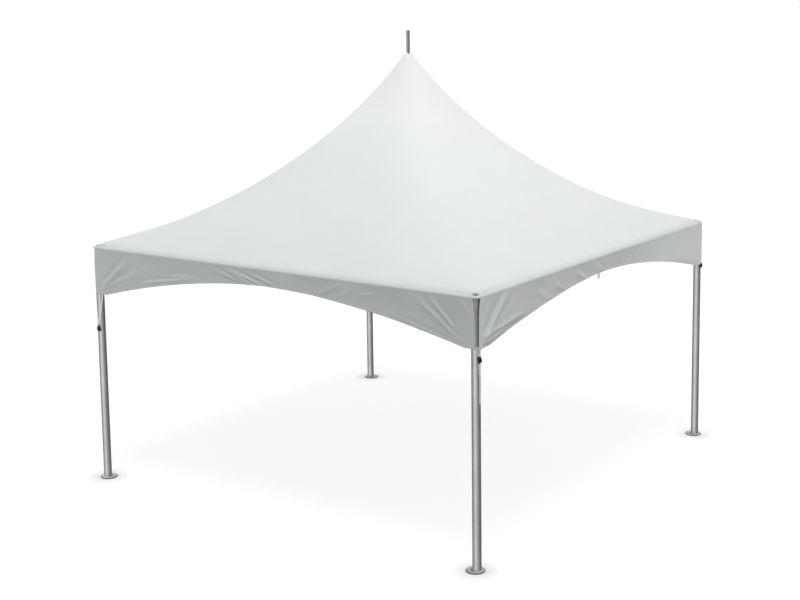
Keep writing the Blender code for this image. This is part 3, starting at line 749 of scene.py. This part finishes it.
# Creases of the valances, seen from outside: the place of the strap's end and of the far end,
# each as along and below the eave, then the height and the width at the far end, in metres; a
# negative width puts the trough below the ridge
CREASES = {
    "front": [
        (-2.15, 0.405, -1.76, 0.08, 0.016, 0.036), (-2.15, 0.42, -1.5, 0.14, 0.0059, 0.032),
        (-1.62, 0.3, -0.84, 0.175, 0.0068, 0.023), (-1.3, 0.2, -0.95, 0.165, 0.0059, 0.017),
        (-0.04, 0.15, -0.5, 0.045, 0.0071, 0.02), (-0.16, 0.16, -0.42, 0.09, 0.0061, 0.017),
        (-0.3, 0.155, -0.66, 0.06, 0.0051, 0.017), (0.1, 0.14, -0.22, 0.05, 0.0051, 0.02),
        (2.09, 0.372, 1.64, 0.045, 0.0074, 0.025), (2.07, 0.31, 1.79, 0.03, 0.0084, 0.02),
        (2.02, 0.405, 1.3, 0.225, 0.003, 0.018), (2.24, 0.18, 2.1, 0.02, 0.0051, 0.02),
        (0.58, 0.18, 0.86, 0.03, 0.0066, 0.015), (0.38, 0.165, 0.51, 0.08, 0.0052, 0.013),
        (0.8, 0.165, 0.96, 0.095, 0.0046, 0.015), (1.06, 0.115, 1.26, 0.08, 0.0052, 0.015),
    ],
    "right": [
        (-2.19, 0.415, -1.8, 0.015, 0.019, 0.034), (-2.2, 0.4, -1.62, 0.11, 0.0034, 0.025),
        (-2.24, 0.37, -1.52, 0.272, 0.014, -0.022), (-2.21, 0.3, -2.07, 0.03, 0.0059, 0.023),
        (-1.08, 0.235, -1.32, 0.11, 0.0074, 0.034), (-0.78, 0.215, -1.03, 0.095, 0.008, 0.032),
        (-0.37, 0.18, -0.63, 0.065, 0.0086, 0.032), (-0.02, 0.16, -0.26, 0.06, 0.005, 0.028),
        (0.66, 0.16, 0.55, 0.04, 0.0044, 0.024), (2.14, 0.43, 0.95, 0.185, 0.0026, 0.015),
        (2.1, 0.34, 1.2, 0.105, 0.0009, 0.023), (2.18, 0.4, 1.72, 0.045, 0.0008, 0.032),
    ],
    "back": [
        (-2.18, 0.41, -1.78, 0.03, 0.0119, 0.029), (-2.16, 0.42, -1.4, 0.16, 0.0068, 0.032),
        (-0.55, 0.165, -0.3, 0.04, 0.0054, 0.023), (0.35, 0.155, 0.62, 0.045, 0.0058, 0.023),
        (2.17, 0.41, 1.82, 0.03, 0.0102, 0.026), (2.15, 0.42, 1.3, 0.17, 0.0076, 0.029),
    ],
    "left": [
        (-2.19, 0.41, -1.7, 0.04, 0.011, 0.03), (-2.15, 0.42, -1.45, 0.18, 0.0068, 0.029),
        (-0.2, 0.155, 0.02, 0.035, 0.0058, 0.023), (0.8, 0.175, 0.52, 0.045, 0.0054, 0.023),
        (2.18, 0.41, 1.86, 0.03, 0.0119, 0.026), (2.16, 0.42, 1.42, 0.15, 0.0068, 0.032),
    ],
}
# How far the lower edge turns in towards each end of a valance, in metres: (left, right)
EDGE_TURNS = {
    "front": (0.003, 0.003), "right": (0.020, 0.008), "back": (0.005, 0.004), "left": (0.004, 0.006)}

# How far each end of a valance is cut flat at its full depth, and how much deeper it hangs
# there than the plain cut, in metres: (left, right)
VALANCE_ENDS = {
    "front": ((0.150, 0.036), (VALANCE_FLAT, 0.006)),
    "right": ((0.195, 0.018), (0.125, 0.030)),
    "back": ((0.125, 0.020), (0.140, 0.016)),
    "left": ((0.130, 0.018), (0.140, 0.022)),
}


def levels(x, y):
    """The level curve through each point; the curves turn from round to square outwards."""
    a, b = np.abs(x) / SHEET_HALF, np.abs(y) / SHEET_HALF
    low, high = np.zeros_like(a), np.ones_like(a)
    for _ in range(40):
        level = (low + high) / 2
        power = 2 + 1.5 * np.minimum(level / 0.5, 1)
        inside = a**power + b**power - (a * b) ** power < level**power
        high = np.where(inside, level, high)
        low = np.where(inside, low, level)
    return (low + high) / 2


def peak_rise(radius):
    """The sheet stands a little fuller round the mast than the plain curve."""
    return PEAK_RISE * np.exp(-((radius / PEAK_REACH) ** 2)) * (1 - np.exp(-((radius / PEAK_EASE) ** 2)))


def spacing():
    """Grid lines from edge to edge, fine at the peak and in the corners."""
    end = SHEET_HALF - FOLD
    fine = np.linspace(0, end, 4001)
    gap = np.minimum(0.008 + 0.13 * fine, 0.027)
    gap = np.minimum(gap, 0.014 + 0.12 * np.maximum(1.72 - fine, 0))
    gap = np.minimum(gap, 0.0065 + 0.12 * np.maximum(HALF - 0.01 - fine, 0))
    count = np.concatenate([[0], np.cumsum((1 / gap[1:] + 1 / gap[:-1]) / 2 * np.diff(fine))])
    total = int(round(count[-1]))
    lines = np.interp(np.linspace(0, count[-1], total + 1), count, fine)
    lines[int(np.argmin(np.abs(lines - HALF)))] = HALF
    return np.concatenate([-lines[:0:-1], lines])


def smooth(low, high, value):
    share = np.clip((value - low) / (high - low), 0, 1)
    return share * share * (3 - 2 * share)


def ripples(x, y, seed, waves, low, high):
    """A sum of waves in random directions, with wavelengths from low to high; about -1 to 1."""
    random = np.random.RandomState(seed)
    total = np.zeros(np.broadcast(x, y).shape)
    for _ in range(waves):
        angle = random.uniform(0, pi)
        size = tau / random.uniform(low, high)
        phase = random.uniform(0, tau)
        total += np.sin(size * (x * cos(angle) + y * sin(angle)) + phase)
    return total / sqrt(waves)


def valance_depth(side, position):
    """The cut of a valance: each end has its own flat reach and its own extra depth."""
    ends = np.where(np.asarray(position)[..., None] < 0, *(np.array(end) for end in VALANCE_ENDS[side]))
    flat, extra = ends[..., 0], ends[..., 1]
    arch = np.minimum(np.abs(position) / (HALF - flat), 1)
    return VALANCE_MID + (VALANCE_CORNER - VALANCE_MID) * arch**VALANCE_ARCH + extra * arch**1.3


def crease(position, drop, x, y, end_x, end_y, height, width):
    """A ridge with a trough beside it, narrow at its start and spreading to its end."""
    run, fall = end_x - x, end_y - y
    length = np.hypot(run, fall)
    share = ((position - x) * run + (drop - y) * fall) / length**2
    aside = ((drop - y) * run - (position - x) * fall) / length * np.sign(run)
    across = aside / (width * (0.45 + 0.55 * np.clip(share, 0, 1)))
    across = np.where(across > 0, across * 0.62, across)
    shape = 1 / (1 + across**2) ** 2 - 0.5 * np.exp(-(((across + 2.0) / 1.1) ** 2))
    return height * shape * smooth(-0.04, 0.22, share) * (1 - smooth(0.60, 1.08, share))


def valance_relief(side, position, drop):
    """How far a valance stands out, in metres, at each place along it and drop below the eave."""
    depth = valance_depth(side, position) + EAVE_Z - VALANCE_TOP_Z
    seed = list(SIDES).index(side)
    hang = smooth(0.01, 0.09, drop)
    relief = 0.0022 * ripples(position, drop * 0.35, 10 + seed, 5, 0.35, 0.9) * hang
    relief += 0.0007 * ripples(position * 0.8, drop * 1.4, 30 + seed, 7, 0.10, 0.26) * hang
    for line in CREASES[side]:
        relief += crease(position, drop, *line)
    left, right = EDGE_TURNS[side]
    turned = left * smooth(1.25, 1.85, -position) + right * smooth(1.25, 1.85, position)
    relief -= turned * smooth(0.055, 0.0, depth - drop) * (1 - smooth(2.16, 2.25, np.abs(position)))
    near_leg = smooth(HALF - 0.11, HALF - 0.03, np.abs(position))
    return relief * (1 - near_leg) + np.maximum(relief, 0) * near_leg * 0.3


def roof_relief(x, y, level):
    """Small unevenness of the roof: soft waves, and shallow folds that fan out from each cap."""
    relief = 0.0022 * ripples(x, y, 3, 6, 0.7, 1.8) * smooth(0.03, 0.3, level)
    for side_x in (-1, 1):
        for side_y in (-1, 1):
            across, up = HALF - side_x * x, HALF - side_y * y
            reach = np.hypot(across, up)
            angle = np.arctan2(up, across)
            seed = 1.3 * side_x + 0.7 * side_y
            fan = np.sin(angle * 15 + seed) + 0.6 * np.sin(angle * 23 + 2 * seed)
            near = 1 - smooth(0.30, 0.95, reach)
            relief += 0.0014 * fan * smooth(0.05, 0.25, reach) * near
            rise, risen = HIPS[side_x, side_y]
            relief += rise * smooth(0.0, risen, reach) * near * np.sin(2 * np.clip(angle, 0, pi / 2))
    inside = np.minimum(SHEET_HALF - np.abs(x), SHEET_HALF - np.abs(y))
    return relief * smooth(0.0, 0.08, inside)


def flare(along_eave):
    """How far the sheet stands out at the eave, less towards the corners."""
    return FLARE * (1 - 0.5 * smooth(HALF - 0.15, HALF + 0.02, along_eave))


def roof_points(lines):
    """The roof's grid; the four corner patches of the grid are drawn in to quarter discs."""
    x, y = np.meshgrid(lines, lines, indexing="ij")
    end = SHEET_HALF - FOLD
    reach = end - HALF
    in_corner = (np.abs(x) > HALF) & (np.abs(y) > HALF)
    a = np.where(in_corner, (np.abs(x) - HALF) / reach, 0)
    b = np.where(in_corner, (np.abs(y) - HALF) / reach, 0)
    drawn_x = np.where(in_corner, np.sign(x) * (HALF + reach * a * np.sqrt(1 - b * b / 2)), x)
    drawn_y = np.where(in_corner, np.sign(y) * (HALF + reach * b * np.sqrt(1 - a * a / 2)), y)
    level = levels(drawn_x, drawn_y)
    height = level_height(level) + roof_relief(drawn_x, drawn_y, level) + peak_rise(np.hypot(x, y))
    least, most = np.minimum(np.abs(x), np.abs(y)), np.maximum(np.abs(x), np.abs(y))
    grow = 1 + flare(least) / SHEET_HALF * smooth(0.92, 1.0, most / end)
    return np.stack([drawn_x * grow, drawn_y * grow, height], -1)


class Sheet:
    """Points in rows, and the faces between neighbouring rows."""

    def __init__(self):
        self.points, self.faces = [], []
        self.count = 0

    def add(self, points):
        """Adds an array of points and returns their numbers in the same layout."""
        points = np.asarray(points, float)
        numbers = self.count + np.arange(points[..., 0].size).reshape(points.shape[:-1])
        self.points.append(points.reshape(-1, 3))
        self.count += numbers.size
        return numbers

    def fill(self, numbers, keep=None):
        """Faces over a grid of point numbers."""
        quads = np.stack([numbers[:-1, :-1], numbers[1:, :-1], numbers[1:, 1:], numbers[:-1, 1:]], -1)
        self.faces.append(quads[keep] if keep is not None else quads.reshape(-1, 4))


def around(count):
    """Grid places round the rim: front, right, back, left."""
    last = count - 1
    rim = [(i, 0) for i in range(last)] + [(last, j) for j in range(last)]
    return rim + [(i, last) for i in range(last, 0, -1)] + [(0, j) for j in range(last, 0, -1)]


def canopy():
    sheet = Sheet()
    lines = spacing()
    roof = roof_points(lines)
    number = sheet.add(roof)
    centre = (roof[:-1, :-1, :2] + roof[1:, 1:, :2]) / 2
    on_cap = np.hypot(*np.moveaxis(np.abs(centre) - HALF, -1, 0)) < GROMMET_R - 0.003
    on_mast = np.hypot(*np.moveaxis(centre, -1, 0)) < ROD_R + 0.006
    sheet.fill(number, ~(on_cap | on_mast))

    rim = np.array(around(len(lines)))
    start = roof[rim[:, 0], rim[:, 1]]
    flat = np.stack([lines[rim[:, 0]], lines[rim[:, 1]]], -1)
    corner = (np.abs(flat) > HALF).all(-1)
    out = np.zeros_like(start)
    largest = np.argmax(np.abs(flat), -1)
    out[np.arange(len(out)), largest] = np.sign(flat[np.arange(len(flat)), largest])
    away = start[:, :2] - np.sign(flat) * HALF
    out[corner, :2] = (away / np.linalg.norm(away, axis=-1, keepdims=True))[corner]

    crown = start + out * FOLD
    crown[:, 2] = EAVE_Z
    low = crown - [0, 0, FOLD]
    rows = [start * (1 - share) ** 2 + crown * 2 * share * (1 - share) + low * share**2
            for share in (0.25, 0.5, 0.75, 1.0)]
    rows.append(crown - [0, 0, LIP])
    eave = sheet.add(np.stack(rows, 1))
    eave = np.concatenate([number[rim[:, 0], rim[:, 1]][:, None], eave], 1)
    sheet.fill(np.concatenate([eave, eave[:1]]))
    lip = sheet.add(np.stack([crown - out * PLY - [0, 0, LIP], crown - out * PLY - [0, 0, 0.003]], 1))
    for first, second in zip(range(len(rim)), list(range(1, len(rim))) + [0]):
        if corner[first] or corner[second]:
            sheet.fill(np.array([[eave[first, -1], *lip[first]], [eave[second, -1], *lip[second]]]))

    for side, turn in SIDES.items():
        facing = np.array([sin(radians(turn)), -cos(radians(turn)), 0]).round()
        sideways = np.array([-facing[1], facing[0], 0])
        chosen = np.flatnonzero(~corner & (out @ facing > 0.5))
        position = flat[chosen] @ sideways[:2]
        chosen = chosen[np.argsort(position)]
        add_valance(sheet, side, np.sort(position), facing, sideways, crown[chosen], eave[chosen, -1])
    return np.concatenate(sheet.points), np.concatenate(sheet.faces)


def add_valance(sheet, side, position, facing, sideways, crown, top_numbers):
    """The rows of one valance below the lip, its hem, and the turned-back plies at its two ends."""
    bottom = EAVE_Z - VALANCE_TOP_Z + valance_depth(side, position)
    share = (np.arange(VALANCE_ROWS) + 1) / VALANCE_ROWS
    drop = LIP + (bottom[:, None] - HEM - 0.004 - LIP) * share
    hem = np.array(HEM_SECTION)
    drop = np.concatenate([drop, bottom[:, None] - hem[:, 0]], 1)
    step_out = np.concatenate([np.zeros(VALANCE_ROWS), hem[:, 1]])
    along_it = np.broadcast_to(position[:, None], drop.shape)
    rise = flare(np.abs(along_it)) * (np.exp(-((drop / FLARE_REACH) ** 1.3)) - 1)
    rise += step_out + valance_relief(side, along_it, drop)
    near_end = smooth(HALF - 0.12, HALF, np.abs(along_it)) * np.sign(along_it)
    closing = SLOT_CLOSE * near_end * smooth(0.02, 0.15, drop)
    points = crown[:, None] + facing * rise[..., None] + sideways * closing[..., None]
    points[..., 2] = EAVE_Z - drop
    numbers = np.concatenate([top_numbers[:, None], sheet.add(points)], 1)
    sheet.fill(numbers)
    for end, inward in ((0, sideways), (-1, -sideways)):
        side_edge = points[end, :VALANCE_ROWS + 6]
        plies = [side_edge - inward * 0.0006 - facing * PLY, side_edge - facing * 2 * PLY,
                 side_edge + inward * HEM - facing * 1.6 * PLY]
        turned = sheet.add(np.stack(plies))
        sheet.fill(np.concatenate([numbers[end, 1:VALANCE_ROWS + 7][None], turned]))


def round_holes(mesh):
    """Moves the edge points of the holes for the caps and the mast onto circles."""
    shape = bmesh.new()
    shape.from_mesh(mesh)
    bmesh.ops.delete(shape, geom=[vert for vert in shape.verts if not vert.link_faces], context="VERTS")
    for vert in shape.verts:
        if not vert.is_boundary or vert.co.z < EAVE_Z - 0.002:
            continue
        centre, radius = Vector((0, 0)), ROD_R + 0.0035
        if vert.co.xy.length > 1:
            centre = Vector((copysign(HALF, vert.co.x), copysign(HALF, vert.co.y)))
            radius = GROMMET_R
        away = vert.co.xy - centre
        if away.length < radius + 0.02:
            vert.co.xy = centre + away.normalized() * radius
    bmesh.ops.recalc_face_normals(shape, faces=shape.faces)
    shape.to_mesh(mesh)
    shape.free()


def make_canopy():
    points, faces = canopy()
    made = new_object("canopy_sheet", points.tolist(), faces.tolist())
    mesh = made.data
    round_holes(mesh)
    if sum(face.normal.z * face.area for face in mesh.polygons) < 0:
        mesh.flip_normals()
    mesh.materials.append(VINYL)
    mesh.shade_smooth()
    fit(made, ["canopy_roof"] + ["valance_" + side for side in SIDES])
    return made, sum(face.area for face in mesh.polygons)


# Straps, buckles, the loose end and the tie

# The skin that the straps lie on: both outer faces of a corner, and round the leg between them
SKIN_R = LEG_R + GAP
QUARTER = SKIN_R * pi / 4
ARM_WIDTH, BUCKLE_SLANT = 0.018, 9
# How far the tab reaches from the strap's line, towards its buckle's side and away from it
TAB_NEAR, TAB_FAR = 0.018, 0.036
TAB_LIFT, TAB_THICK = 0.0014, 0.0010
# The arm that starts further out along its valance
LONG_ARMS = {"front_left": 0.072}
BAND_SIDES = 8
STITCH_PITCH, STITCH_LONG, STITCH_HALF, STITCH_LIFT, STITCH_TALL = 0.006, 0.004, 0.0005, 0.0013, 0.0006
# The buckle's cheek, as shares of its depth and height, and its lever's pivot
CHEEK = [(0.0, -0.5), (0.75, -0.42), (1.0, -0.22), (1.0, 0.10), (0.80, 0.30), (0.45, 0.42), (0.0, 0.5)]
PIVOT = (BUCKLE_DEPTH * 0.52, 0, 0.010)
LEVER_STEPS, TAIL_STEPS, TIE_STEPS = 14, 32, 30


def skin_out(at):
    """The way out of the skin at a place along it; 0 is the corner."""
    angle = min(max(at, -QUARTER), QUARTER) / SKIN_R - pi / 4
    return Vector((cos(angle), sin(angle), 0))


def on_skin(at, height, lift):
    """The point at a place along the skin and a height, lifted off it."""
    past = Vector((min(at + QUARTER, 0), max(at - QUARTER, 0), height))
    return skin_out(at) * (SKIN_R + lift) + past


def band(start, end, width, thick, lift, steps=28):
    """A strap laid on the skin from one (along, height) point to another."""
    start, end = Vector(start), Vector(end)
    ahead = (end - start).normalized()
    beside = Vector((-ahead.y, ahead.x))
    across = [-width / 2 + width * side / BAND_SIDES for side in range(BAND_SIDES + 1)]
    rows = []
    for step in range(steps + 1):
        centre = start.lerp(end, step / steps)
        row = []
        for aside, outer in [(side, True) for side in across] + [(side, False) for side in across[::-1]]:
            worn = 0.35 * thick * (2 * abs(aside) / width) ** 6
            row.append(on_skin(*(centre + beside * aside), lift + (thick - worn if outer else worn)))
        rows.append(row)
    return loft(rows, flip=True)


def stitches(line):
    """A row of stitches on the skin along a line of (along, height) points."""
    points, faces = [], []
    for start, end in zip(line, line[1:]):
        span = (end - start).length
        ahead = (end - start) / span
        beside = Vector((-ahead.y, ahead.x))
        for step in range(max(int(span / STITCH_PITCH), 1)):
            middle = start + ahead * STITCH_PITCH * (step + 0.5)
            base = len(points)
            for away, across in ((-1, 0), (0, -1), (1, 0), (0, 1)):
                flat = middle + ahead * away * STITCH_LONG / 2 + beside * across * STITCH_HALF
                points.append(on_skin(*flat, STITCH_LIFT))
            points.append(on_skin(*middle, STITCH_LIFT + STITCH_TALL))
            faces += [(base + side, base + (side + 1) % 4, base + 4) for side in range(4)]
            faces.append((base + 3, base + 2, base + 1, base))
    return points, faces


def tab(top_span, low_span, low):
    """The cloth tab between the valances' ends and the strap: wide above, narrow below."""
    steps, sides = 14, 30
    count, layer = sides + 1, (sides + 1) * (steps + 1)
    top = STRAP_TOP_Z + 0.014
    points, faces = [], []
    for lift in (TAB_LIFT + TAB_THICK, TAB_LIFT):
        for step in range(steps + 1):
            share = step / steps
            left, right = (high + (end - high) * share**0.72 for high, end in zip(top_span, low_span))
            for side in range(count):
                at = left + (right - left) * side / sides
                points.append(on_skin(at, top + (low - top) * share, lift))
    for step in range(steps):
        for a in range(step * count, step * count + sides):
            face = (a, a + count, a + count + 1, a + 1)
            faces += [face, tuple(layer + corner for corner in face[:1] + face[:0:-1])]
    rim = list(range(count)) + [step * count + sides for step in range(1, steps + 1)]
    rim += [steps * count + side for side in range(sides - 1, -1, -1)]
    rim += [step * count for step in range(steps - 1, 0, -1)]
    for first, second in zip(rim, rim[1:] + rim[:1]):
        faces.append((first, second, layer + second, layer + first))
    return points, faces


def strap_set(name, place):
    """The tab under two valances, its two webbing arms, and the strap that they join in."""
    angle, height = CORNERS[name][3:]
    at, hand = SKIN_R * radians(angle), copysign(1, angle)
    low = height + BUCKLE_TALL / 2 - 0.012
    strap = Piece("corner_webbing_" + name, place)
    longer = hand * LONG_ARMS.get(name, 0)
    if not longer:
        top_span = sorted((at + hand * TAB_NEAR, at - hand * TAB_FAR))
        half = STRAP_WIDTH / 2 + 0.002
        neck = max(low + 0.012, STRAP_TOP_Z - 0.060)
        strap.add(tab(top_span, (at - half, at + half), neck), TAB_VINYL)
    inset = ARM_WIDTH / 2 + (0 if longer else 0.006)
    starts = [at - hand * (TAB_FAR - inset) - longer * 0.55, at + hand * (TAB_NEAR - inset) + longer]
    for start_at in starts:
        start = Vector((start_at, STRAP_TOP_Z + (0.025 if longer else 0.006)))
        end = Vector((at, low + 0.010))
        strap.add(band(start, end, ARM_WIDTH, 0.0010, 0.0002), WEB)
        run = (end - start).normalized()
        beside = Vector((-run.y, run.x)) * (ARM_WIDTH / 2 - 0.003)
        first, last = start + run * 0.030, run * 0.028
        left, right = first + beside, first - beside
        strap.add(stitches([left, left + last, right + last, right, left, right + last]), THREAD)
    strap.add(band((at, low + 0.030), (at, low), STRAP_WIDTH, 0.0013, 0.0016, 8), GREY_WEB)
    strap.make("white_webbing", "corner_strap_" + name)


def buckle(name, place):
    """A cam buckle: two cheeks, a back plate, a cam lever with a lip, and its pin."""
    angle, height = CORNERS[name][3:]
    at = place @ turn_z(angle - 45) @ Matrix.Translation((SKIN_R, 0, height))
    at = at @ Matrix.Rotation(radians(BUCKLE_SLANT), 4, "X")
    deep, wide, tall = BUCKLE_DEPTH, BUCKLE_WIDTH, BUCKLE_TALL
    piece = Piece("cam_buckle_" + name, at)
    back = block((0.0022, wide - 0.004, tall - 0.004), 0.0007)
    piece.add(back, BLACK, Matrix.Translation((0.0018, 0, 0)))
    section = [(reach * (deep - 0.002) + 0.0012, rise * (tall - 0.006)) for reach, rise in CHEEK]
    for side in (-1, 1):
        faces = [side * (wide / 2 - 0.0016) + aside for aside in (-0.0014, 0.0014)]
        rows = [[(reach, face, rise) for reach, rise in section] for face in faces]
        piece.add(loft(rows, flip=True), BLACK)
    lever = []
    for step in range(LEVER_STEPS + 1):
        share = step / LEVER_STEPS
        bend = radians(-20 + 100 * share)
        x, z = cos(bend), sin(bend)
        centre = Vector((deep * 0.55 + 0.0070 * x, 0, 0.010 - 0.034 * share + 0.006 * z))
        lever.append((centre, Vector((0, 1, 0)), Vector((x, 0, z))))
    half = wide / 2 - 0.0045
    piece.add(swept(lever, flat_section(half, 0.0012)), BLACK)
    piece.turned(rod(0.0068, half, -half, narrow=0.0006), BLACK, at=along((0, 1, 0), PIVOT))
    piece.turned(rod(0.0032, wide / 2, -wide / 2, narrow=0.0006), BOLT, 20, along((0, 1, 0), PIVOT))
    for rise in (tall / 2 - 0.004, 0.004 - tall / 2):
        bar = [(0.0022, half + 0.002), (0.0022, -half - 0.002)]
        piece.turned(bar, BLACK, 16, along((0, 1, 0), (0.0052, 0, rise)))
    piece.make("black_buckle", "strap_buckle_" + name)


def loose_end():
    """The free end of the front right strap, which hangs from its buckle along the leg."""
    angle, height = CORNERS["front_right"][3:]
    place = corner_place("front_right")
    out = skin_out(SKIN_R * radians(angle))
    beside = Vector((-out.y, out.x, 0))
    top = height - BUCKLE_TALL / 2 - GAP
    line = []
    for step in range(TAIL_STEPS + 1):
        share = step / TAIL_STEPS
        away = 0.0022 + 0.0055 * sin(pi * min(share * 1.15, 1)) ** 2 + 0.004 * share**3
        sway = 0.0035 * sin(2.6 * share + 0.2) * share
        point = out * (SKIN_R + away) + beside * sway + Vector((0, 0, top - TAIL_LENGTH * share))
        line.append(place @ point)
    path = []
    for index, point in enumerate(line):
        twist = radians(14) * sin(2.2 * index / TAIL_STEPS)
        turned_out = Matrix.Rotation(twist, 3, "Z") @ out
        path.append((point, Vector((-turned_out.y, turned_out.x, 0)), turned_out))
    half, thick = STRAP_WIDTH / 2, 0.0007
    rounded = [(-half, -thick * 0.6), (-half * 0.9, -thick), (half * 0.9, -thick), (half, -thick * 0.6)]
    section = rounded + [(x, -y) for x, y in rounded[::-1]]
    made = Piece("strap_loose_end").add(swept(path, section), GREY_WEB)
    made = made.make("white_webbing", "strap_tail_front_right")


def tie():
    """A short doubled tie, sewn behind the right valance's hem."""
    inside = SHEET_HALF - 0.003 - GAP - STRAP_THICK / 2
    tall = TIE_TOP_Z - TIE_BOTTOM_Z + 0.012
    path = []
    for step in range(TIE_STEPS + 1):
        share = step / TIE_STEPS
        x, y = inside - 0.0004 + 0.0010 * sin(5 * share), TIE_Y + 0.002 * sin(3 * share)
        twist = radians(-50) * float(smooth(0.35, 0.75, share))
        across = Vector((-sin(twist), cos(twist), 0))
        path.append((Vector((x, y, TIE_TOP_Z - tall * share)), across, Vector((across.y, -across.x, 0))))
    piece = Piece("valance_tie_webbing").add(swept(path, flat_section(TIE_WIDTH / 2, 0.0010)), WEB)
    piece.make("white_webbing", "valance_tie")


RIM_INNER, RIM_OUTER, RIM_TALL = 0.0275, 0.0440, 0.0175
RIM_ROUND, RIM_EDGE, RIM_STEPS = 0.010, 0.0040, 14


def cap_rims():
    """A raised cloth rim round each cap, standing on the corner of the roof."""
    profile = [(RIM_OUTER, 0.0)]
    for step in range(RIM_STEPS + 1):
        angle = pi / 2 * (1 - step / RIM_STEPS)
        profile.append((RIM_OUTER - RIM_ROUND + RIM_ROUND * sin(angle),
                        RIM_EDGE + (RIM_TALL - RIM_EDGE) * cos(angle)))
    profile += edge(RIM_INNER, RIM_TALL, (1.2, 0), (0.3, -0.3), (0, -1.2))
    profile += edge(RIM_INNER, CAP_TALL, (1.2, 0.2)) + edge(CAP_R, CAP_TALL, (0.4, 0.2))
    profile += edge(CAP_R, 0, (0.4, 0))
    shape = leaning(spun(profile[::-1], 64))
    return [Piece("cap_rim_" + name, corner_place(name)).add(shape, RIM_VINYL).make("white_vinyl")
            for name in CORNERS]


# Floor, light and the room

FLOOR_HALF = 120
CONTACT_SHADE = [(0.35, 0.42), (0.88, 0.72), (0.97, 1.0)]
# The world as metal sees it, from low to high and towards each gloss light
GLOSS_HEIGHT = [(0.03, 0.0), (0.20, 0.75)]
GLOSS_FRONT = [(0.0, 0.13), (0.5, 0.24), (0.80, 0.50), (0.92, 0.72), (1.0, 1.2)]
GLOSS_BEHIND = [(0.84, 0.0), (0.93, 0.50), (1.0, 1.1)]
# The soft light by height, and the lights in it by how straight they are looked at
DOME_LIGHT = [(0.0, 0.22), (0.12, 0.42), (0.28, 0.565), (0.60, 0.54), (0.80, 0.45), (0.90, 0.17),
              (1.0, 0.17)]
SIDE_SPREAD = [(0.80, 0.0), (1.0, SIDE_COLOUR)]
OVERHEAD_SPREAD = [(0.9952, 0.0), (0.9980, 1.0)]
FILL_SPREAD = [(0.86, 0.0), (1.0, 0.05)]
WHITE = (1, 1, 1, 1)


def studio_floor():
    """A pale floor that glows for the camera and is shaded where the plates stand on it."""
    corners = [(x * FLOOR_HALF, y * FLOOR_HALF, 0) for x, y in ((-1, -1), (1, -1), (1, 1), (-1, 1))]
    floor = new_object("studio_floor", corners, [(0, 1, 2, 3)])
    made = material("studio_floor")
    seen = made.node("LightPath", output="Is Camera Ray")
    contact = made.node("AmbientOcclusion", {"Distance": CONTACT_REACH}, "AO", samples=8)
    shade = made.ramp(contact, CONTACT_SHADE)
    glow = made.scalar("MULTIPLY", made.span(seen, (0, 1), (0, FLOOR_GLOW)), shade)
    floor.data.materials.append(made.finish({
        "Base Color": made.span(seen, (0, 1), (FLOOR_WHITE, FLOOR_SEEN)), "Roughness": 0.9,
        "Specular IOR Level": 0.0, "Emission Color": WHITE, "Emission Strength": glow}))
    floor.visible_glossy = False


def studio_light():
    """A white room for the camera, bands of light for glossy rays, and soft light for the rest."""
    world = bpy.data.worlds.new("studio")
    bpy.context.scene.world = world
    sky = Nodes(world)
    sky.nodes.clear()
    place = sky.node("TexCoord", output="Generated")
    height = sky.parts(place)[2]

    def light(direction, stops):
        """A ramp from 0, straight away from a direction, to 1, straight towards it."""
        lean = sky.vector("DOT_PRODUCT", place, Vector(direction).normalized(), output="Value")
        return sky.ramp(sky.span(lean, (-1, 1), (0, 1)), stops)

    gloss = sky.ramp(height, GLOSS_HEIGHT)
    for part in (light(GLOSS_LIGHT, GLOSS_FRONT), light(BACK_GLOSS, GLOSS_BEHIND)):
        gloss = sky.vector("MAXIMUM", gloss, part)
    lamp = {0: light(OVERHEAD_LIGHT, OVERHEAD_SPREAD), "Scale": OVERHEAD}
    lamp = sky.node("VectorMath", lamp, operation="SCALE")
    soft = sky.ramp(height, DOME_LIGHT)
    for part in (lamp, light(SIDE_LIGHT, SIDE_SPREAD), light(FILL_LIGHT, FILL_SPREAD)):
        soft = sky.vector("ADD", soft, part)
    shown = sky.node("Background", {"Color": soft, "Strength": 2.0})
    for ray, colour in (("Is Glossy Ray", gloss), ("Is Camera Ray", WHITE)):
        other = sky.node("Background", {"Color": colour, "Strength": 1.0})
        shown = sky.node("MixShader", {"Fac": sky.node("LightPath", output=ray), 1: shown, 2: other})
    output = sky.nodes.new("ShaderNodeOutputWorld")
    sky.feed(output.inputs["Surface"], shown)
    bpy.context.scene.view_settings.view_transform = "Standard"
    bpy.context.scene.view_settings.look = "None"


def main():
    camera()
    loose_end()
    for name in CORNERS:
        place = corner_place(name)
        leg_and_plate(name, place)
        casting(name, place)
        wire_rope(name)
        strap_set(name, place)
        buckle(name, place)
    for side, turn in SIDES.items():
        beam(side, turn)
    mast()
    tie()
    rims = cap_rims()
    sheet, area = make_canopy()
    studio_floor()
    studio_light()


main()
